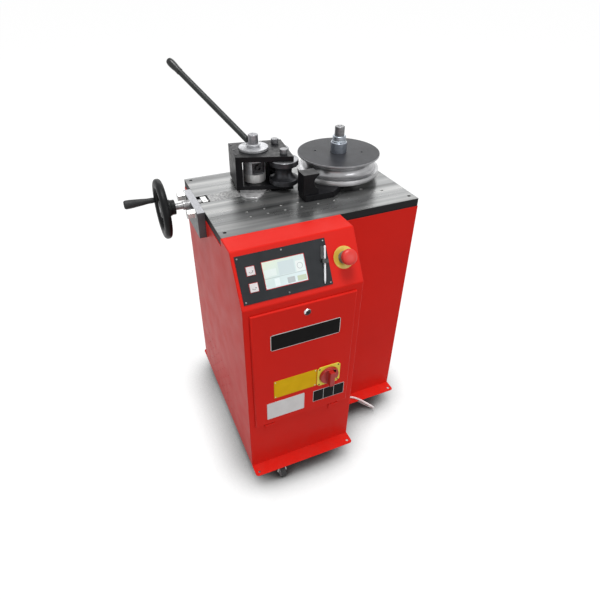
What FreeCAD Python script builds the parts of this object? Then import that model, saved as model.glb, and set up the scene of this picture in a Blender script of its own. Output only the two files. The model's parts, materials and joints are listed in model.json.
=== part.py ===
"""Electric rotary bending press for tube, on castors, as an assembly of separate pieces.

Frame: millimetres, +X to the right along the table's long side, +Y to the back, +Z up.
The origin lies on the floor, under the middle of the steel table.
"""
import FreeCAD
import Part
import math
import os
import Sketcher
from FreeCAD import Placement, Rotation, Vector

doc = FreeCAD.newDocument("bending_press")
sheet = doc.addObject("Spreadsheet::Sheet", "Sizes")

# The driving sizes, in millimetres, degrees or counts
SIZES = [
    # shared clearances: between moving pieces, beyond a face when cutting, and of wells and windows
    ("run_gap", 0.3), ("over", 1), ("fit_gap", 0.2),
    # cabinet and table
    ("castor_height", 75), ("base_sheet", 3), ("body_height", 867), ("panel_sheet", 2),
    ("table_thickness", 29), ("frame_tube", 40), ("frame_room", 3), ("rear_room", 28),
    ("corner_screw", 5.5), ("corner_screw_sunk", 3), ("corner_inset_x", 20), ("corner_inset_y", 28),
    ("tool_hole", 3.5), ("tool_pitch", 60), ("tool_first_x", 127), ("tool_front_y", 95),
    ("tool_row_gap", 36), ("stop_hole", 5), ("flange_width", 50), ("flange_corner", 12),
    ("flange_hole", 4.5), ("flange_hole_inset", 16), ("well_inset", 110),
    ("vent_radius", 3), ("vent_pitch_y", 45), ("vent_pitch_z", 48), ("vent_first_y", 70),
    ("vent_first_z", 60), ("cover_inset", 60), ("cover_lap", 15), ("cover_low", 75),
    ("cover_height", 690), ("cover_screw", 5), ("cover_screw_head", 3),
    # control column
    ("column_width", 403), ("column_depth", 175.5), ("strip_depth", 84), ("slope_drop", 151),
    ("strip_step", 1),
    # door, its hinges, lock and plates
    ("door_width", 359), ("door_height", 501), ("door_sill", 220), ("door_left", 18),
    ("door_proud", 8.2), ("door_bevel", 4), ("door_rim", 5), ("door_lap", 10), ("label_sheet", 0.8),
    ("hinge_radius", 4), ("hinge_pin", 2), ("hinge_drop", 6), ("hinge_length", 36),
    ("hinge_inset", 54), ("hinge_leaf", 2), ("hinge_plate_drop", 22),
    ("lock_radius", 12.5), ("lock_barrel", 9), ("lock_proud", 3), ("lock_drop", 32),
    ("lock_offset", 6.5), ("cam_reach", 32), ("cam_width", 13), ("cam_thick", 3), ("cam_gap", 1.2),
    ("switch_side", 88), ("switch_nip", 9), ("switch_sheet", 3), ("switch_left", 249),
    ("switch_low", 341), ("switch_body", 56), ("switch_body_depth", 46),
    ("knob_radius", 37), ("knob_stem", 7), ("knob_disc", 10), ("knob_grip", 20), ("knob_bar", 18),
    ("name_left", 80), ("name_low", 567), ("name_width", 244), ("name_height", 65),
    ("yellow_left", 89), ("yellow_low", 346), ("yellow_width", 158), ("yellow_height", 80),
    ("white_left", 62), ("white_low", 247), ("white_width", 141), ("white_height", 80),
    ("black_left", 237), ("black_low", 264), ("black_width", 123), ("black_height", 55),
    ("plate_corner", 3),
    # slanted control face
    ("plate_left", 8), ("plate_top", 16), ("plate_width", 288), ("plate_drop", 144),
    ("plate_sheet", 2), ("plate_screw", 3), ("plate_screw_head", 1.6), ("plate_screw_inset", 7.5),
    ("face_hole_inset", 14), ("screen_left", 85), ("screen_top", 49), ("screen_width", 133.5),
    ("screen_drop", 80), ("screen_sunk", 0.4), ("screen_depth", 26), ("screen_lap", 6),
    ("key_side", 26), ("key_left", 35), ("key_upper", 52), ("key_lower", 101.5), ("key_proud", 3),
    ("key_depth", 11), ("key_travel_room", 3), ("key_wall", 2), ("key_floor", 3),
    ("pen_radius", 3.25), ("pen_length", 116), ("pen_tip", 10), ("pen_lean", 11.2), ("pen_x", 279.3),
    ("pen_s", 95.9), ("pen_lift", 1), ("clip_width", 20), ("clip_length", 13), ("clip_at", 11.4),
    ("clip_wall", 3), ("stop_x", 349), ("stop_s", 88), ("stop_disc", 35.5), ("stop_disc_sheet", 1.5),
    ("stop_collar", 20), ("stop_collar_top", 17), ("stop_barrel", 11), ("stop_barrel_depth", 40),
    ("stop_block", 30), ("stop_block_depth", 22), ("stop_head", 25), ("stop_stem", 8),
    ("stop_head_low", 26), ("stop_head_height", 24),
    # electrical panel in the column
    ("board_sheet", 2), ("board_low", 150), ("board_height", 560), ("board_gap", 6),
    ("drive_left", 30), ("drive_low", 480), ("drive_width", 120), ("drive_depth", 100),
    ("drive_height", 190), ("fin_inset", 6), ("fin_pitch", 12), ("fin_sheet", 2), ("fin_reach", 10),
    ("fin_trim", 10), ("contactor_left", 190), ("contactor_low", 560), ("contactor_width", 45),
    ("contactor_depth", 72), ("contactor_height", 74), ("contactor_pitch", 50),
    ("transformer_left", 50), ("transformer_low", 170), ("transformer_width", 96),
    ("transformer_depth", 84), ("transformer_height", 90), ("supply_left", 200),
    ("supply_low", 330), ("supply_width", 60), ("supply_depth", 80), ("supply_height", 110),
    ("rail_left", 190), ("rail_low", 206), ("rail_length", 150), ("rail_depth", 6),
    ("rail_height", 35), ("terminal_inset", 5), ("terminal_drop", 6), ("terminal_pitch", 11),
    ("terminal_width", 9), ("terminal_depth", 40), ("terminal_height", 46),
    # table slot, slide and lead screw
    ("slot_centre", 280), ("slot_width", 56), ("slot_end", 332), ("slot_bed", 10), ("bed_lap", 15),
    ("slide_left", 39), ("slide_length", 221), ("slide_gap", 1), ("nut_radius", 8.5),
    ("nut_length", 34), ("screw_drop", 10), ("screw_radius", 6), ("screw_end", 250),
    ("block_left", 14), ("block_length", 19), ("block_width", 44),
    ("bracket_thick", 26), ("bracket_half", 98), ("bracket_drop", 92), ("journal_radius", 11),
    ("neck_bore", 8),
    ("collar_radius", 15), ("collar_length", 25), ("wheel_offset", 120), ("wheel_radius", 87),
    ("rim_radius", 13), ("hub_radius", 30), ("hub_end_radius", 25), ("hub_length", 42),
    ("hub_back", 8), ("spoke_width", 22), ("spoke_thick", 12), ("crank_radius", 80),
    ("crank_pin", 4), ("crank_pin_length", 14), ("crank_length", 102), ("crank_grip", 15),
    ("bolt_across", 27), ("bolt_head", 26), ("bolt_spread", 71.5), ("washer_radius", 16),
    ("washer_sheet", 2),
    # roller carriage
    ("saddle_thick", 7), ("saddle_front_radius", 40), ("saddle_front_dx", -43),
    ("saddle_front_dy", -32), ("saddle_rear_radius", 60), ("saddle_rear_dx", 2), ("saddle_rear_dy", 6),
    ("tenon_length", 60), ("tenon_width", 30), ("tenon_depth", 3),
    ("pivot_x", 231), ("pivot_dy", 64), ("pivot_radius", 17.5), ("pivot_top", 176),
    ("drum_radius", 40), ("drum_dx", -6), ("drum_dy", -19), ("window_left", 20), ("window_width", 46),
    ("window_low", 30), ("window_height", 43), ("window_depth", 15), ("socket_radius", 12),
    ("socket_length", 8), ("socket_hole", 6), ("socket_dx", 6), ("socket_height", 50),
    ("yoke_floor", 13.7), ("yoke_room", 86), ("yoke_roof", 18), ("travel_in", 36), ("travel_out", 32),
    ("sleeve_radius", 23), ("sleeve_gap", 0.5), ("disc_radius", 52), ("disc_thick", 8),
    ("neck_radius", 22), ("neck_ring", 25), ("neck_height", 11), ("kidney_depth", 5),
    ("roller_radius", 51), ("roller_waist", 28), ("roller_gap", 0.5), ("roller_edge", 2),
    ("roller_pin", 12), ("roller_pin_head", 14), ("roller_head_height", 16),
    ("front_roller_dx", 80), ("front_roller_dy", -83), ("rear_roller_dx", 90), ("rear_roller_dy", 25),
    ("side_plate", 22), ("thrust_thick", 9.4), ("thrust_width", 40), ("thrust_gap", 1.6),
    ("yoke_screw", 4), ("yoke_screw_head", 1), ("yoke_screw_inset", 8),
    ("lever_radius", 10.5), ("lever_length", 445), ("lever_rise", 32), ("lever_azimuth", 121.7),
    ("grip_radius", 14), ("grip_length", 66), ("grip_cap", 8), ("grip_socket", 12),
    # bending head
    ("tube_line", 388), ("tube_diameter", 48.3), ("tube_height", 63.5), ("groove_sink", 3),
    ("die_radius", 148), ("die_base", 22), ("die_height", 68), ("cover_thick", 3),
    ("cover_hole", 4), ("cover_hole_circle", 84), ("cover_hole_angle", 152),
    ("spindle_radius", 25), ("spindle_top_radius", 17.5), ("spindle_top", 184),
    ("spindle_shoulder", 5), ("lower_collar_radius", 29), ("lower_collar_top", 130),
    ("collar_lip", 8), ("upper_collar_radius", 25.5), ("upper_collar_top", 152),
    ("hook_gap", 4), ("hook_length", 56), ("hook_front", 123), ("hook_width", 49),
    ("hook_top", 94), ("arm_lift", 2), ("arm_hub", 62), ("arm_border", 5),
    # drive under the table
    ("gear_module", 4), ("gear_teeth", 52), ("pinion_teeth", 13), ("gear_width", 30),
    ("gear_room", 6), ("gear_drop", 110), ("gearbox_depth", 110), ("gearbox_wall", 10),
    ("pinion_shaft", 12), ("shaft_reach", 60), ("motor_radius", 75), ("motor_length", 250),
    ("motor_body", 67), ("motor_flange", 12), ("cowl_length", 46), ("bearing_radius", 45),
    ("bearing_width", 20), ("lower_bearing", 40), ("lower_bearing_width", 15),
    # castors
    ("wheel_size", 25), ("tread", 22), ("castor_trail", 28), ("fork_sheet", 3), ("axle_radius", 4),
    ("fork_gap", 1.5), ("crown_gap", 5), ("crown_depth", 44), ("castor_plate", 60),
    ("castor_plate_sheet", 3), ("kingpin", 14), ("castor_bolt", 4), ("castor_bolt_head", 3),
    ("left_castor_x", 108), ("left_castor_y", -172), ("right_castor_inset", 60),
    ("right_castor_y", 40), ("rear_castor_inset", 42),
    # mains lead
    ("cord_diameter", 8.5), ("gland_radius", 11), ("gland_nut", 8), ("gland_cone", 16),
    ("gland_y", -16), ("gland_height", 16), ("coil_x", 46.5), ("coil_y", 344), ("coil_radius", 60),
    ("coil_quarters", 22), ("coil_gap", 0.5), ("plug_radius", 17), ("plug_body", 38),
    ("plug_relief", 28), ("plug_pin", 2.4), ("plug_pin_length", 19), ("plug_pin_spread", 9.5),
]

for row, (alias, number) in enumerate(SIZES, 1):
    sheet.set(f"A{row}", alias)
    sheet.set(f"B{row}", str(number))
    sheet.setAlias(f"B{row}", alias)
doc.recompute()


class Size:
    """A length with its number now and the sheet formula that binds it."""

    def __init__(self, number, formula):
        self.number = float(number)
        self.formula = formula

    def __float__(self):
        return self.number

    def __add__(self, other):
        other = as_size(other)
        return Size(self.number + other.number, f"({self.formula} + {other.formula})")

    def __sub__(self, other):
        other = as_size(other)
        return Size(self.number - other.number, f"({self.formula} - {other.formula})")

    def __mul__(self, other):
        other = as_size(other)
        return Size(self.number * other.number, f"({self.formula} * {other.formula})")

    def __truediv__(self, other):
        other = as_size(other)
        return Size(self.number / other.number, f"({self.formula} / {other.formula})")

    def __neg__(self):
        return Size(-self.number, f"(0 - {self.formula})")

    def __radd__(self, other):
        return as_size(other) + self

    def __rsub__(self, other):
        return as_size(other) - self

    def __rmul__(self, other):
        return as_size(other) * self


def as_size(value):
    if isinstance(value, Size):
        return value
    return Size(value, f"({value!r})")


def root(value):
    return Size(math.sqrt(value.number), f"sqrt({value.formula})")


def sine(angle):
    return Size(math.sin(math.radians(angle.number)), f"sin({angle.formula} * 1deg)")


def cosine(angle):
    return Size(math.cos(math.radians(angle.number)), f"cos({angle.formula} * 1deg)")


class Sheet:
    """The sheet's sizes by name."""

    def __getattr__(self, alias):
        return Size(sheet.get(alias), f"Sizes.{alias}")


s = Sheet()


def bind(thing, prop, value):
    """Give one property of an object its formula."""
    thing.setExpression(prop, as_size(value).formula)


def put(thing, x, y, z, turn=None):
    """Place an object, its base point bound to the sheet."""
    thing.Placement = Placement(Vector(float(x), float(y), float(z)), turn or Rotation())
    for axis, value in (("x", x), ("y", y), ("z", z)):
        bind(thing, f"Placement.Base.{axis}", value)
    return thing


ALONG_X = Rotation(Vector(0, 1, 0), 90)
AGAINST_X = Rotation(Vector(0, 1, 0), -90)
ALONG_Y = Rotation(Vector(1, 0, 0), -90)
AGAINST_Y = Rotation(Vector(1, 0, 0), 90)


def box(name, length, width, height, x, y, z, turn=None):
    solid = doc.addObject("Part::Box", name)
    bind(solid, "Length", length)
    bind(solid, "Width", width)
    bind(solid, "Height", height)
    return put(solid, x, y, z, turn)


def cylinder(name, radius, height, x, y, z, turn=None):
    solid = doc.addObject("Part::Cylinder", name)
    bind(solid, "Radius", radius)
    bind(solid, "Height", height)
    return put(solid, x, y, z, turn)


def cone(name, radius, far_radius, height, x, y, z, turn=None):
    solid = doc.addObject("Part::Cone", name)
    bind(solid, "Radius1", radius)
    bind(solid, "Radius2", far_radius)
    bind(solid, "Height", height)
    return put(solid, x, y, z, turn)


def torus(name, ring, tube, x, y, z, turn=None):
    solid = doc.addObject("Part::Torus", name)
    bind(solid, "Radius1", ring)
    bind(solid, "Radius2", tube)
    return put(solid, x, y, z, turn)


def hexagon(name, across, length, x, y, z, turn=None):
    prism = doc.addObject("Part::Prism", name)
    prism.Polygon = 6
    bind(prism, "Circumradius", across / math.sqrt(3))
    bind(prism, "Height", length)
    return put(prism, x, y, z, turn)


def fuse(name, *solids):
    joined = doc.addObject("Part::MultiFuse", name)
    joined.Shapes = list(solids)
    joined.Refine = True
    return joined


def cut(name, blank, *tools):
    result = doc.addObject("Part::Cut", name)
    result.Base = blank
    result.Tool = tools[0] if len(tools) == 1 else fuse(name + "_tools", *tools)
    return result


def common(name, one, other):
    result = doc.addObject("Part::Common", name)
    result.Base = one
    result.Tool = other
    return result


def group(name, *solids):
    """Several separate solids kept under one name."""
    result = doc.addObject("Part::Compound", name)
    result.Links = list(solids)
    return result


def hold(sketch, kind, element, place, value):
    """Hold one point of a sketch at its distance from the sketch's origin."""
    value = as_size(value)
    if abs(value.number) < 1e-9:
        axis = -2 if kind == "DistanceX" else -1
        sketch.addConstraint(Sketcher.Constraint("PointOnObject", element, place, axis))
        return
    made = sketch.addConstraint(Sketcher.Constraint(kind, -1, 1, element, place, value.number))
    sketch.setExpression(f"Constraints[{made}]", value.formula)


def draw_outline(sketch, corners):
    first = sketch.GeometryCount
    count = len(corners)
    for i, (u, v) in enumerate(corners):
        next_u, next_v = corners[(i + 1) % count]
        start = Vector(float(u), float(v), 0)
        end = Vector(float(next_u), float(next_v), 0)
        sketch.addGeometry(Part.LineSegment(start, end))
    for i in range(count):
        after = first + (i + 1) % count
        sketch.addConstraint(Sketcher.Constraint("Coincident", first + i, 2, after, 1))
    for i, (u, v) in enumerate(corners):
        hold(sketch, "DistanceX", first + i, 1, u)
        hold(sketch, "DistanceY", first + i, 1, v)


def draw_circle(sketch, u, v, radius):
    middle = Vector(float(u), float(v), 0)
    made = sketch.addGeometry(Part.Circle(middle, Vector(0, 0, 1), float(radius)))
    hold(sketch, "DistanceX", made, 3, u)
    hold(sketch, "DistanceY", made, 3, v)
    held = sketch.addConstraint(Sketcher.Constraint("Radius", made, float(radius)))
    sketch.setExpression(f"Constraints[{held}]", as_size(radius).formula)


def new_sketch(body, plane):
    sketch = body.newObject("Sketcher::SketchObject", body.Name + "_sketch")
    for feature in body.Origin.OriginFeatures:
        if feature.Role == plane:
            sketch.AttachmentSupport = [(feature, "")]
    sketch.MapMode = "FlatFace"
    return sketch


def plate(name, plane, corners, thickness, x, y, z, holes=(), openings=(), rounded=None):
    """A plate or bar: an outline with its holes, padded along the plane's normal.

    rounded is the radius of the outline's corners that have one, with a list of their numbers.
    """
    body = doc.addObject("PartDesign::Body", name)
    sketch = new_sketch(body, plane)
    draw_outline(sketch, corners)
    for opening in openings:
        draw_outline(sketch, opening)
    for u, v, radius in holes:
        draw_circle(sketch, u, v, radius)
    pad = body.newObject("PartDesign::Pad", name + "_pad")
    pad.Profile = sketch
    bind(pad, "Length", thickness)
    if rounded:
        doc.recompute()
        radius, numbers = rounded
        fillet = body.newObject("PartDesign::Fillet", name + "_fillet")
        fillet.Base = (pad, upright_edges(pad.Shape, sketch, [corners[i] for i in numbers]))
        bind(fillet, "Radius", radius)
    return put(body, x, y, z)


def upright_edges(shape, sketch, corners):
    """Names of the padded edges that stand on the given corners of a sketch."""
    places = [sketch.Placement.multVec(Vector(float(u), float(v), 0)) for u, v in corners]
    normal = sketch.Placement.Rotation.multVec(Vector(0, 0, 1))
    names = []
    for number, edge in enumerate(shape.Edges, 1):
        if len(edge.Vertexes) < 2:
            continue
        start, end = (vertex.Point for vertex in edge.Vertexes)
        if (end - start).cross(normal).Length > 1e-6:
            continue
        if any((start - place).cross(normal).Length < 1e-4 for place in places):
            names.append(f"Edge{number}")
    return names


def turned(name, corners, x, y, z, turn=None):
    """A lathe part: its half outline as radius and height, turned about the height axis."""
    body = doc.addObject("PartDesign::Body", name)
    sketch = new_sketch(body, "XZ_Plane")
    draw_outline(sketch, corners)
    revolution = body.newObject("PartDesign::Revolution", name + "_turned")
    revolution.Profile = sketch
    revolution.ReferenceAxis = (sketch, ["V_Axis"])
    revolution.Angle = 360
    return put(body, x, y, z, turn)


def ring(name, inner, outer, height, x, y, z, turn=None):
    corners = [(inner, 0), (outer, 0), (outer, height), (inner, height)]
    return turned(name, corners, x, y, z, turn)


def rectangle(u, v, width, height):
    return [(u, v), (u + width, v), (u + width, v + height), (u, v + height)]


def hull(name, disc, other, height, z):
    """A plate around two discs, each given as x, y and radius, with straight flanks."""
    (x1, y1, r1), (x2, y2, r2) = disc, other
    dx = x2 - x1
    dy = y2 - y1
    far = root(dx * dx + dy * dy)
    lean = (r1 - r2) / far
    side = root(1 - lean * lean)
    flanks = []
    for sign in (1, -1):
        u = (dx * lean - dy * side * sign) / far
        v = (dy * lean + dx * side * sign) / far
        flanks.append([(x1 + r1 * u, y1 + r1 * v), (x2 + r2 * u, y2 + r2 * v)])
    corners = flanks[0] + flanks[1][::-1]
    return fuse(name, plate(name + "_flanks", "XY_Plane", corners, height, 0, 0, z),
                cylinder(name + "_disc", r1, height, x1, y1, z),
                cylinder(name + "_other", r2, height, x2, y2, z))


pieces = []


def piece(thing, label):
    """Mark an object as one sub-part of the press."""
    thing.Label = label
    pieces.append(thing)
    return thing


# Levels, edges and axes that many pieces share
wall = s.panel_sheet
gear_pitch = s.gear_module * s.gear_teeth / 2
pinion_pitch = s.gear_module * s.pinion_teeth / 2
gearbox_half = gear_pitch + s.gear_module + s.gear_room + s.gearbox_wall
die_from_left = s.tube_line + s.die_radius - s.groove_sink
table_length = die_from_left + gearbox_half + s.frame_tube + s.frame_room
table_depth = s.slot_centre + gearbox_half + s.frame_tube + s.rear_room
left = -table_length / 2
right = table_length / 2
front = -table_depth / 2
back = table_depth / 2
base_top = s.castor_height + s.base_sheet
under_table = base_top + s.body_height
top = under_table + s.table_thickness
cabinet_left = left - wall
cabinet_right = right + wall
cabinet_front = front - wall
cabinet_back = back + wall
column_right = cabinet_left + s.column_width
column_front = front - s.column_depth
slot_y = front + s.slot_centre
die_x = left + die_from_left
die_y = slot_y
pinion_x = die_x - gear_pitch - pinion_pitch
tube_z = top + s.tube_height
tube_radius = s.tube_diameter / 2


# Base: one floor sheet, open in its middle, with bolting flanges in front and behind
def make_base():
    column_edge = column_front - s.flange_width
    main_edge = front - s.flange_width
    rear_edge = back + s.flange_width
    outline = [
        (cabinet_left, column_edge), (column_right, column_edge), (column_right, main_edge),
        (cabinet_right, main_edge), (cabinet_right, rear_edge), (cabinet_left, rear_edge),
    ]
    inset = s.flange_hole_inset
    holes = [
        (cabinet_left + inset, column_edge + inset, s.flange_hole),
        (column_right - inset, column_edge + inset, s.flange_hole),
        (cabinet_right - inset, main_edge + inset, s.flange_hole),
        (cabinet_right - inset, rear_edge - inset, s.flange_hole),
        (cabinet_left + inset, rear_edge - inset, s.flange_hole),
    ]
    well = rectangle(left + s.well_inset, front + s.well_inset, table_length - s.well_inset * 2,
                     table_depth - s.well_inset * 2)
    return plate("floor_sheet", "XY_Plane", outline, s.base_sheet, 0, 0, s.castor_height, holes=holes,
                 openings=[well], rounded=(s.flange_corner, (0, 1, 3, 4, 5)))


piece(make_base(), "base_frame")


# Cabinet: left wall, right wall, back wall with its service opening, and the front right of the column
def make_cabinet():
    height = s.body_height
    depth = table_depth
    left_wall = box("left_wall", wall, depth, height, cabinet_left, front, base_top)
    right_wall = box("right_wall", wall, depth, height, right, front, base_top)
    rear_wall = box("rear_wall", table_length + wall * 2, wall, height, cabinet_left, back, base_top)
    front_wall = box("front_wall", cabinet_right - column_right, wall, height, column_right, cabinet_front,
                     base_top)
    service_inset = s.cover_inset + s.cover_lap
    service = box("service_opening", table_length - service_inset * 2, wall + s.over * 2,
                  s.cover_height - s.cover_lap * 2, left + service_inset, back - s.over,
                  base_top + s.cover_low + s.cover_lap)
    notch = box("bracket_notch", wall + s.over * 2, (s.bracket_half + wall) * 2,
                s.bracket_drop, cabinet_left - s.over, slot_y - s.bracket_half - wall,
                top - s.bracket_drop - wall)
    vents = []
    for row in range(5):
        for column in range(8):
            vents.append(cylinder(f"vent_{row}_{column}", s.vent_radius, wall + s.over * 2,
                                  cabinet_left - s.over, front + s.vent_first_y + s.vent_pitch_y * column,
                                  base_top + s.vent_first_z + s.vent_pitch_z * row, ALONG_X))
    shell = fuse("cabinet_walls", left_wall, right_wall, rear_wall, front_wall)
    return cut("cabinet", shell, service, notch, *vents)


piece(make_cabinet(), "cabinet_shell")


def make_rear_cover():
    low = base_top + s.cover_low
    wide = table_length - s.cover_inset * 2
    cover = box("cover_sheet", wide, wall, s.cover_height, left + s.cover_inset, cabinet_back, low)
    inset = s.cover_lap / 2
    screws = []
    for i, (a, b) in enumerate(((0, 0), (1, 0), (0, 1), (1, 1), (0, 0.5), (1, 0.5))):
        x = left + s.cover_inset + inset + (wide - s.cover_lap) * a
        z = low + inset + (s.cover_height - s.cover_lap) * b
        screws.append(cylinder(f"cover_screw_{i}", s.cover_screw, s.cover_screw_head, x,
                               cabinet_back + wall, z, ALONG_Y))
    return group("rear_cover_set", cover, *screws)


piece(make_rear_cover(), "rear_cover")

# The column's slanted face: its length down the slope and how steep it is
run = s.column_depth - s.strip_depth
slope = root(run * run + s.slope_drop * s.slope_drop)
slope_sin = s.slope_drop / slope
slope_cos = run / slope
slope_turn = Rotation(Vector(1, 0, 0), math.degrees(math.atan2(float(s.slope_drop), float(run))))
slope_y = front - s.strip_depth
strip_z = top - s.strip_step


def on_slope(x, down, out):
    """Place on the slanted face: x, the way down the slope, and the height off it."""
    return (x, slope_y - down * slope_cos - out * slope_sin, strip_z - down * slope_sin + out * slope_cos)


def slope_box(name, x, down, out, width, drop, height):
    """A block on the slanted face; down is its upper edge's way down the slope."""
    return box(name, width, drop, height, *on_slope(x, down + drop, out), slope_turn)


def slope_cylinder(name, radius, height, x, down, out):
    return cylinder(name, radius, height, *on_slope(x, down, out), slope_turn)


def slope_cone(name, radius, far_radius, height, x, down, out):
    return cone(name, radius, far_radius, height, *on_slope(x, down, out), slope_turn)


# Control column: folded sheet with a level strip, a slanted face and a front with the door's opening
def make_column():
    knee_z = strip_z - s.slope_drop
    outer_profile = [
        (front, strip_z), (slope_y, strip_z), (column_front, knee_z), (column_front, base_top),
        (front, base_top),
    ]
    inner_y = slope_y + wall * (slope - run) / s.slope_drop
    inner_z = knee_z - wall * (slope - s.slope_drop) / run
    inner_profile = [
        (front + s.over, strip_z - wall), (inner_y, strip_z - wall), (column_front + wall, inner_z),
        (column_front + wall, base_top - s.over), (front + s.over, base_top - s.over),
    ]
    outer = plate("column_outside", "YZ_Plane", outer_profile, s.column_width, cabinet_left, 0, 0)
    inner = plate("column_inside", "YZ_Plane", inner_profile, s.column_width - wall * 2, left, 0, 0)
    doorway_depth = wall + s.cam_gap + s.cam_thick + s.over * 2
    doorway = box("doorway", s.door_width - s.door_lap * 2, doorway_depth,
                  s.door_height - s.door_lap * 2, left + s.door_left + s.door_lap, column_front - s.over,
                  base_top + s.door_sill + s.door_lap)
    face_hole = slope_box("face_hole", left + s.plate_left + s.face_hole_inset,
                          s.plate_top + s.face_hole_inset, -wall - s.over,
                          s.plate_width - s.face_hole_inset * 3, s.plate_drop - s.face_hole_inset * 2,
                          wall + s.over * 2)
    stop_hole = slope_cylinder("stop_hole", s.stop_barrel, wall + s.over * 2, left + s.stop_x, s.stop_s,
                               -wall - s.over)
    return cut("column", outer, inner, doorway, face_hole, stop_hole)


piece(make_column(), "column_shell")

# Door: a shallow folded tray with bevelled edges, hung at its lower edge
door_x = left + s.door_left
door_z = base_top + s.door_sill
door_back = column_front - s.run_gap
door_face = door_back - s.door_proud
hinge_y = door_back - s.hinge_radius - s.fit_gap
hinge_z = door_z - s.hinge_drop
hinge_middles = [door_x + s.hinge_inset, door_x + s.door_width - s.hinge_inset]
lock_x = door_x + s.door_width / 2 + s.lock_offset
lock_z = door_z + s.door_height - s.lock_drop
switch_x = left + s.switch_left + s.switch_side / 2
switch_z = base_top + s.switch_low + s.switch_side / 2


def make_door():
    bevel = doc.addObject("Part::Wedge", "door_bevel")
    for prop, value in (
            ("Xmin", s.door_bevel), ("Xmax", s.door_width - s.door_bevel), ("X2min", 0),
            ("X2max", s.door_width), ("Zmin", s.door_bevel), ("Zmax", s.door_height - s.door_bevel),
            ("Z2min", 0), ("Z2max", s.door_height), ("Ymin", 0), ("Ymax", s.door_bevel)):
        bind(bevel, prop, value)
    put(bevel, door_x, door_face, door_z)
    edge = box("door_edge", s.door_width, s.door_proud - s.door_bevel, s.door_height, door_x,
               door_face + s.door_bevel, door_z)
    third = s.hinge_length / 3
    leaves = []
    pin_holes = []
    for i, middle in enumerate(hinge_middles):
        leaves.append(cylinder(f"door_knuckle_{i}", s.hinge_radius, third, middle - third / 2, hinge_y,
                               hinge_z, ALONG_X))
        leaves.append(box(f"door_leaf_{i}", third, s.hinge_leaf, s.hinge_drop + s.door_rim / 2,
                          middle - third / 2, hinge_y - s.hinge_leaf / 2, hinge_z))
        pin_holes.append(cylinder(f"door_pin_hole_{i}", s.hinge_pin + s.fit_gap, s.hinge_length,
                                  middle - s.hinge_length / 2, hinge_y, hinge_z, ALONG_X))
    hollow = box("door_hollow", s.door_width - s.door_rim * 2, s.door_proud,
                 s.door_height - s.door_rim * 2, door_x + s.door_rim, door_face + wall,
                 door_z + s.door_rim)
    lock_hole = cylinder("lock_hole", s.lock_barrel + s.run_gap, wall + s.over * 2, lock_x,
                         door_face - s.over, lock_z, ALONG_Y)
    switch_hole = cylinder("switch_hole", s.knob_stem + s.key_wall * 2, wall + s.over * 2, switch_x,
                           door_face - s.over, switch_z, ALONG_Y)
    return cut("door", fuse("door_solid", bevel, edge, *leaves), hollow, lock_hole, switch_hole, *pin_holes)


piece(make_door(), "door_panel")


# Hinges: two outer knuckles each with their pin, on a plate screwed to the column below the door
def make_hinge(i, middle):
    third = s.hinge_length / 3
    knuckle = third - s.run_gap
    start = middle - s.hinge_length / 2
    end = middle + third / 2 + s.run_gap
    solids = [
        cylinder(f"hinge_pin_{i}", s.hinge_pin, s.hinge_length, start, hinge_y, hinge_z, ALONG_X),
        box(f"hinge_plate_{i}", s.hinge_length, s.hinge_leaf, s.hinge_plate_drop, start,
            column_front - s.hinge_leaf, hinge_z - s.hinge_radius - s.hinge_plate_drop),
    ]
    for side, x in (("left", start), ("right", end)):
        solids.append(cylinder(f"hinge_knuckle_{i}_{side}", s.hinge_radius, knuckle, x, hinge_y, hinge_z,
                               ALONG_X))
        solids.append(box(f"hinge_leaf_{i}_{side}", knuckle, column_front - hinge_y, s.hinge_leaf, x,
                          hinge_y, hinge_z - s.hinge_radius))
    return fuse(f"hinge_{i}", *solids)


piece(group("hinge_set", *[make_hinge(i, middle) for i, middle in enumerate(hinge_middles)]), "door_hinges")


# Lock: a quarter-turn barrel with a key way, and its cam behind the column's sheet
def make_lock():
    cam_y = column_front + wall + s.cam_gap
    head = cone("lock_head", s.lock_radius, s.lock_radius - s.lock_proud / 2, s.lock_proud, lock_x,
                door_face, lock_z, AGAINST_Y)
    barrel = cylinder("lock_barrel", s.lock_barrel, cam_y + s.cam_thick - door_face, lock_x, door_face,
                      lock_z, ALONG_Y)
    cam = box("lock_cam", s.cam_reach + s.lock_barrel, s.cam_thick, s.cam_width, lock_x - s.lock_barrel,
              cam_y, lock_z - s.cam_width / 2)
    dish = cylinder("lock_dish", s.lock_radius / 2, s.lock_proud, lock_x, door_face - s.lock_proud - s.over,
                    lock_z, ALONG_Y)
    key_way = box("lock_key_way", s.lock_proud / 2, s.lock_proud * 2, s.lock_radius * 0.7,
                  lock_x - s.lock_proud / 4, door_face - s.lock_proud, lock_z - s.lock_radius * 0.35)
    return cut("lock", fuse("lock_solid", head, barrel, cam), dish, key_way)


piece(make_lock(), "door_lock")


# Plates on the door, all bare
def door_plate(name, from_left, low, width, height):
    corners = rectangle(left + from_left, base_top + low, width, height)
    return plate(name, "XZ_Plane", corners, s.label_sheet, 0, door_face, 0,
                 rounded=(s.plate_corner, (0, 1, 2, 3)))


piece(group("plate_set",
            door_plate("name_plate", s.name_left, s.name_low, s.name_width, s.name_height),
            door_plate("yellow_plate", s.yellow_left, s.yellow_low, s.yellow_width, s.yellow_height),
            door_plate("white_plate", s.white_left, s.white_low, s.white_width, s.white_height),
            door_plate("black_plate", s.black_left, s.black_low, s.black_width, s.black_height)),
      "blank_plates")


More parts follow.
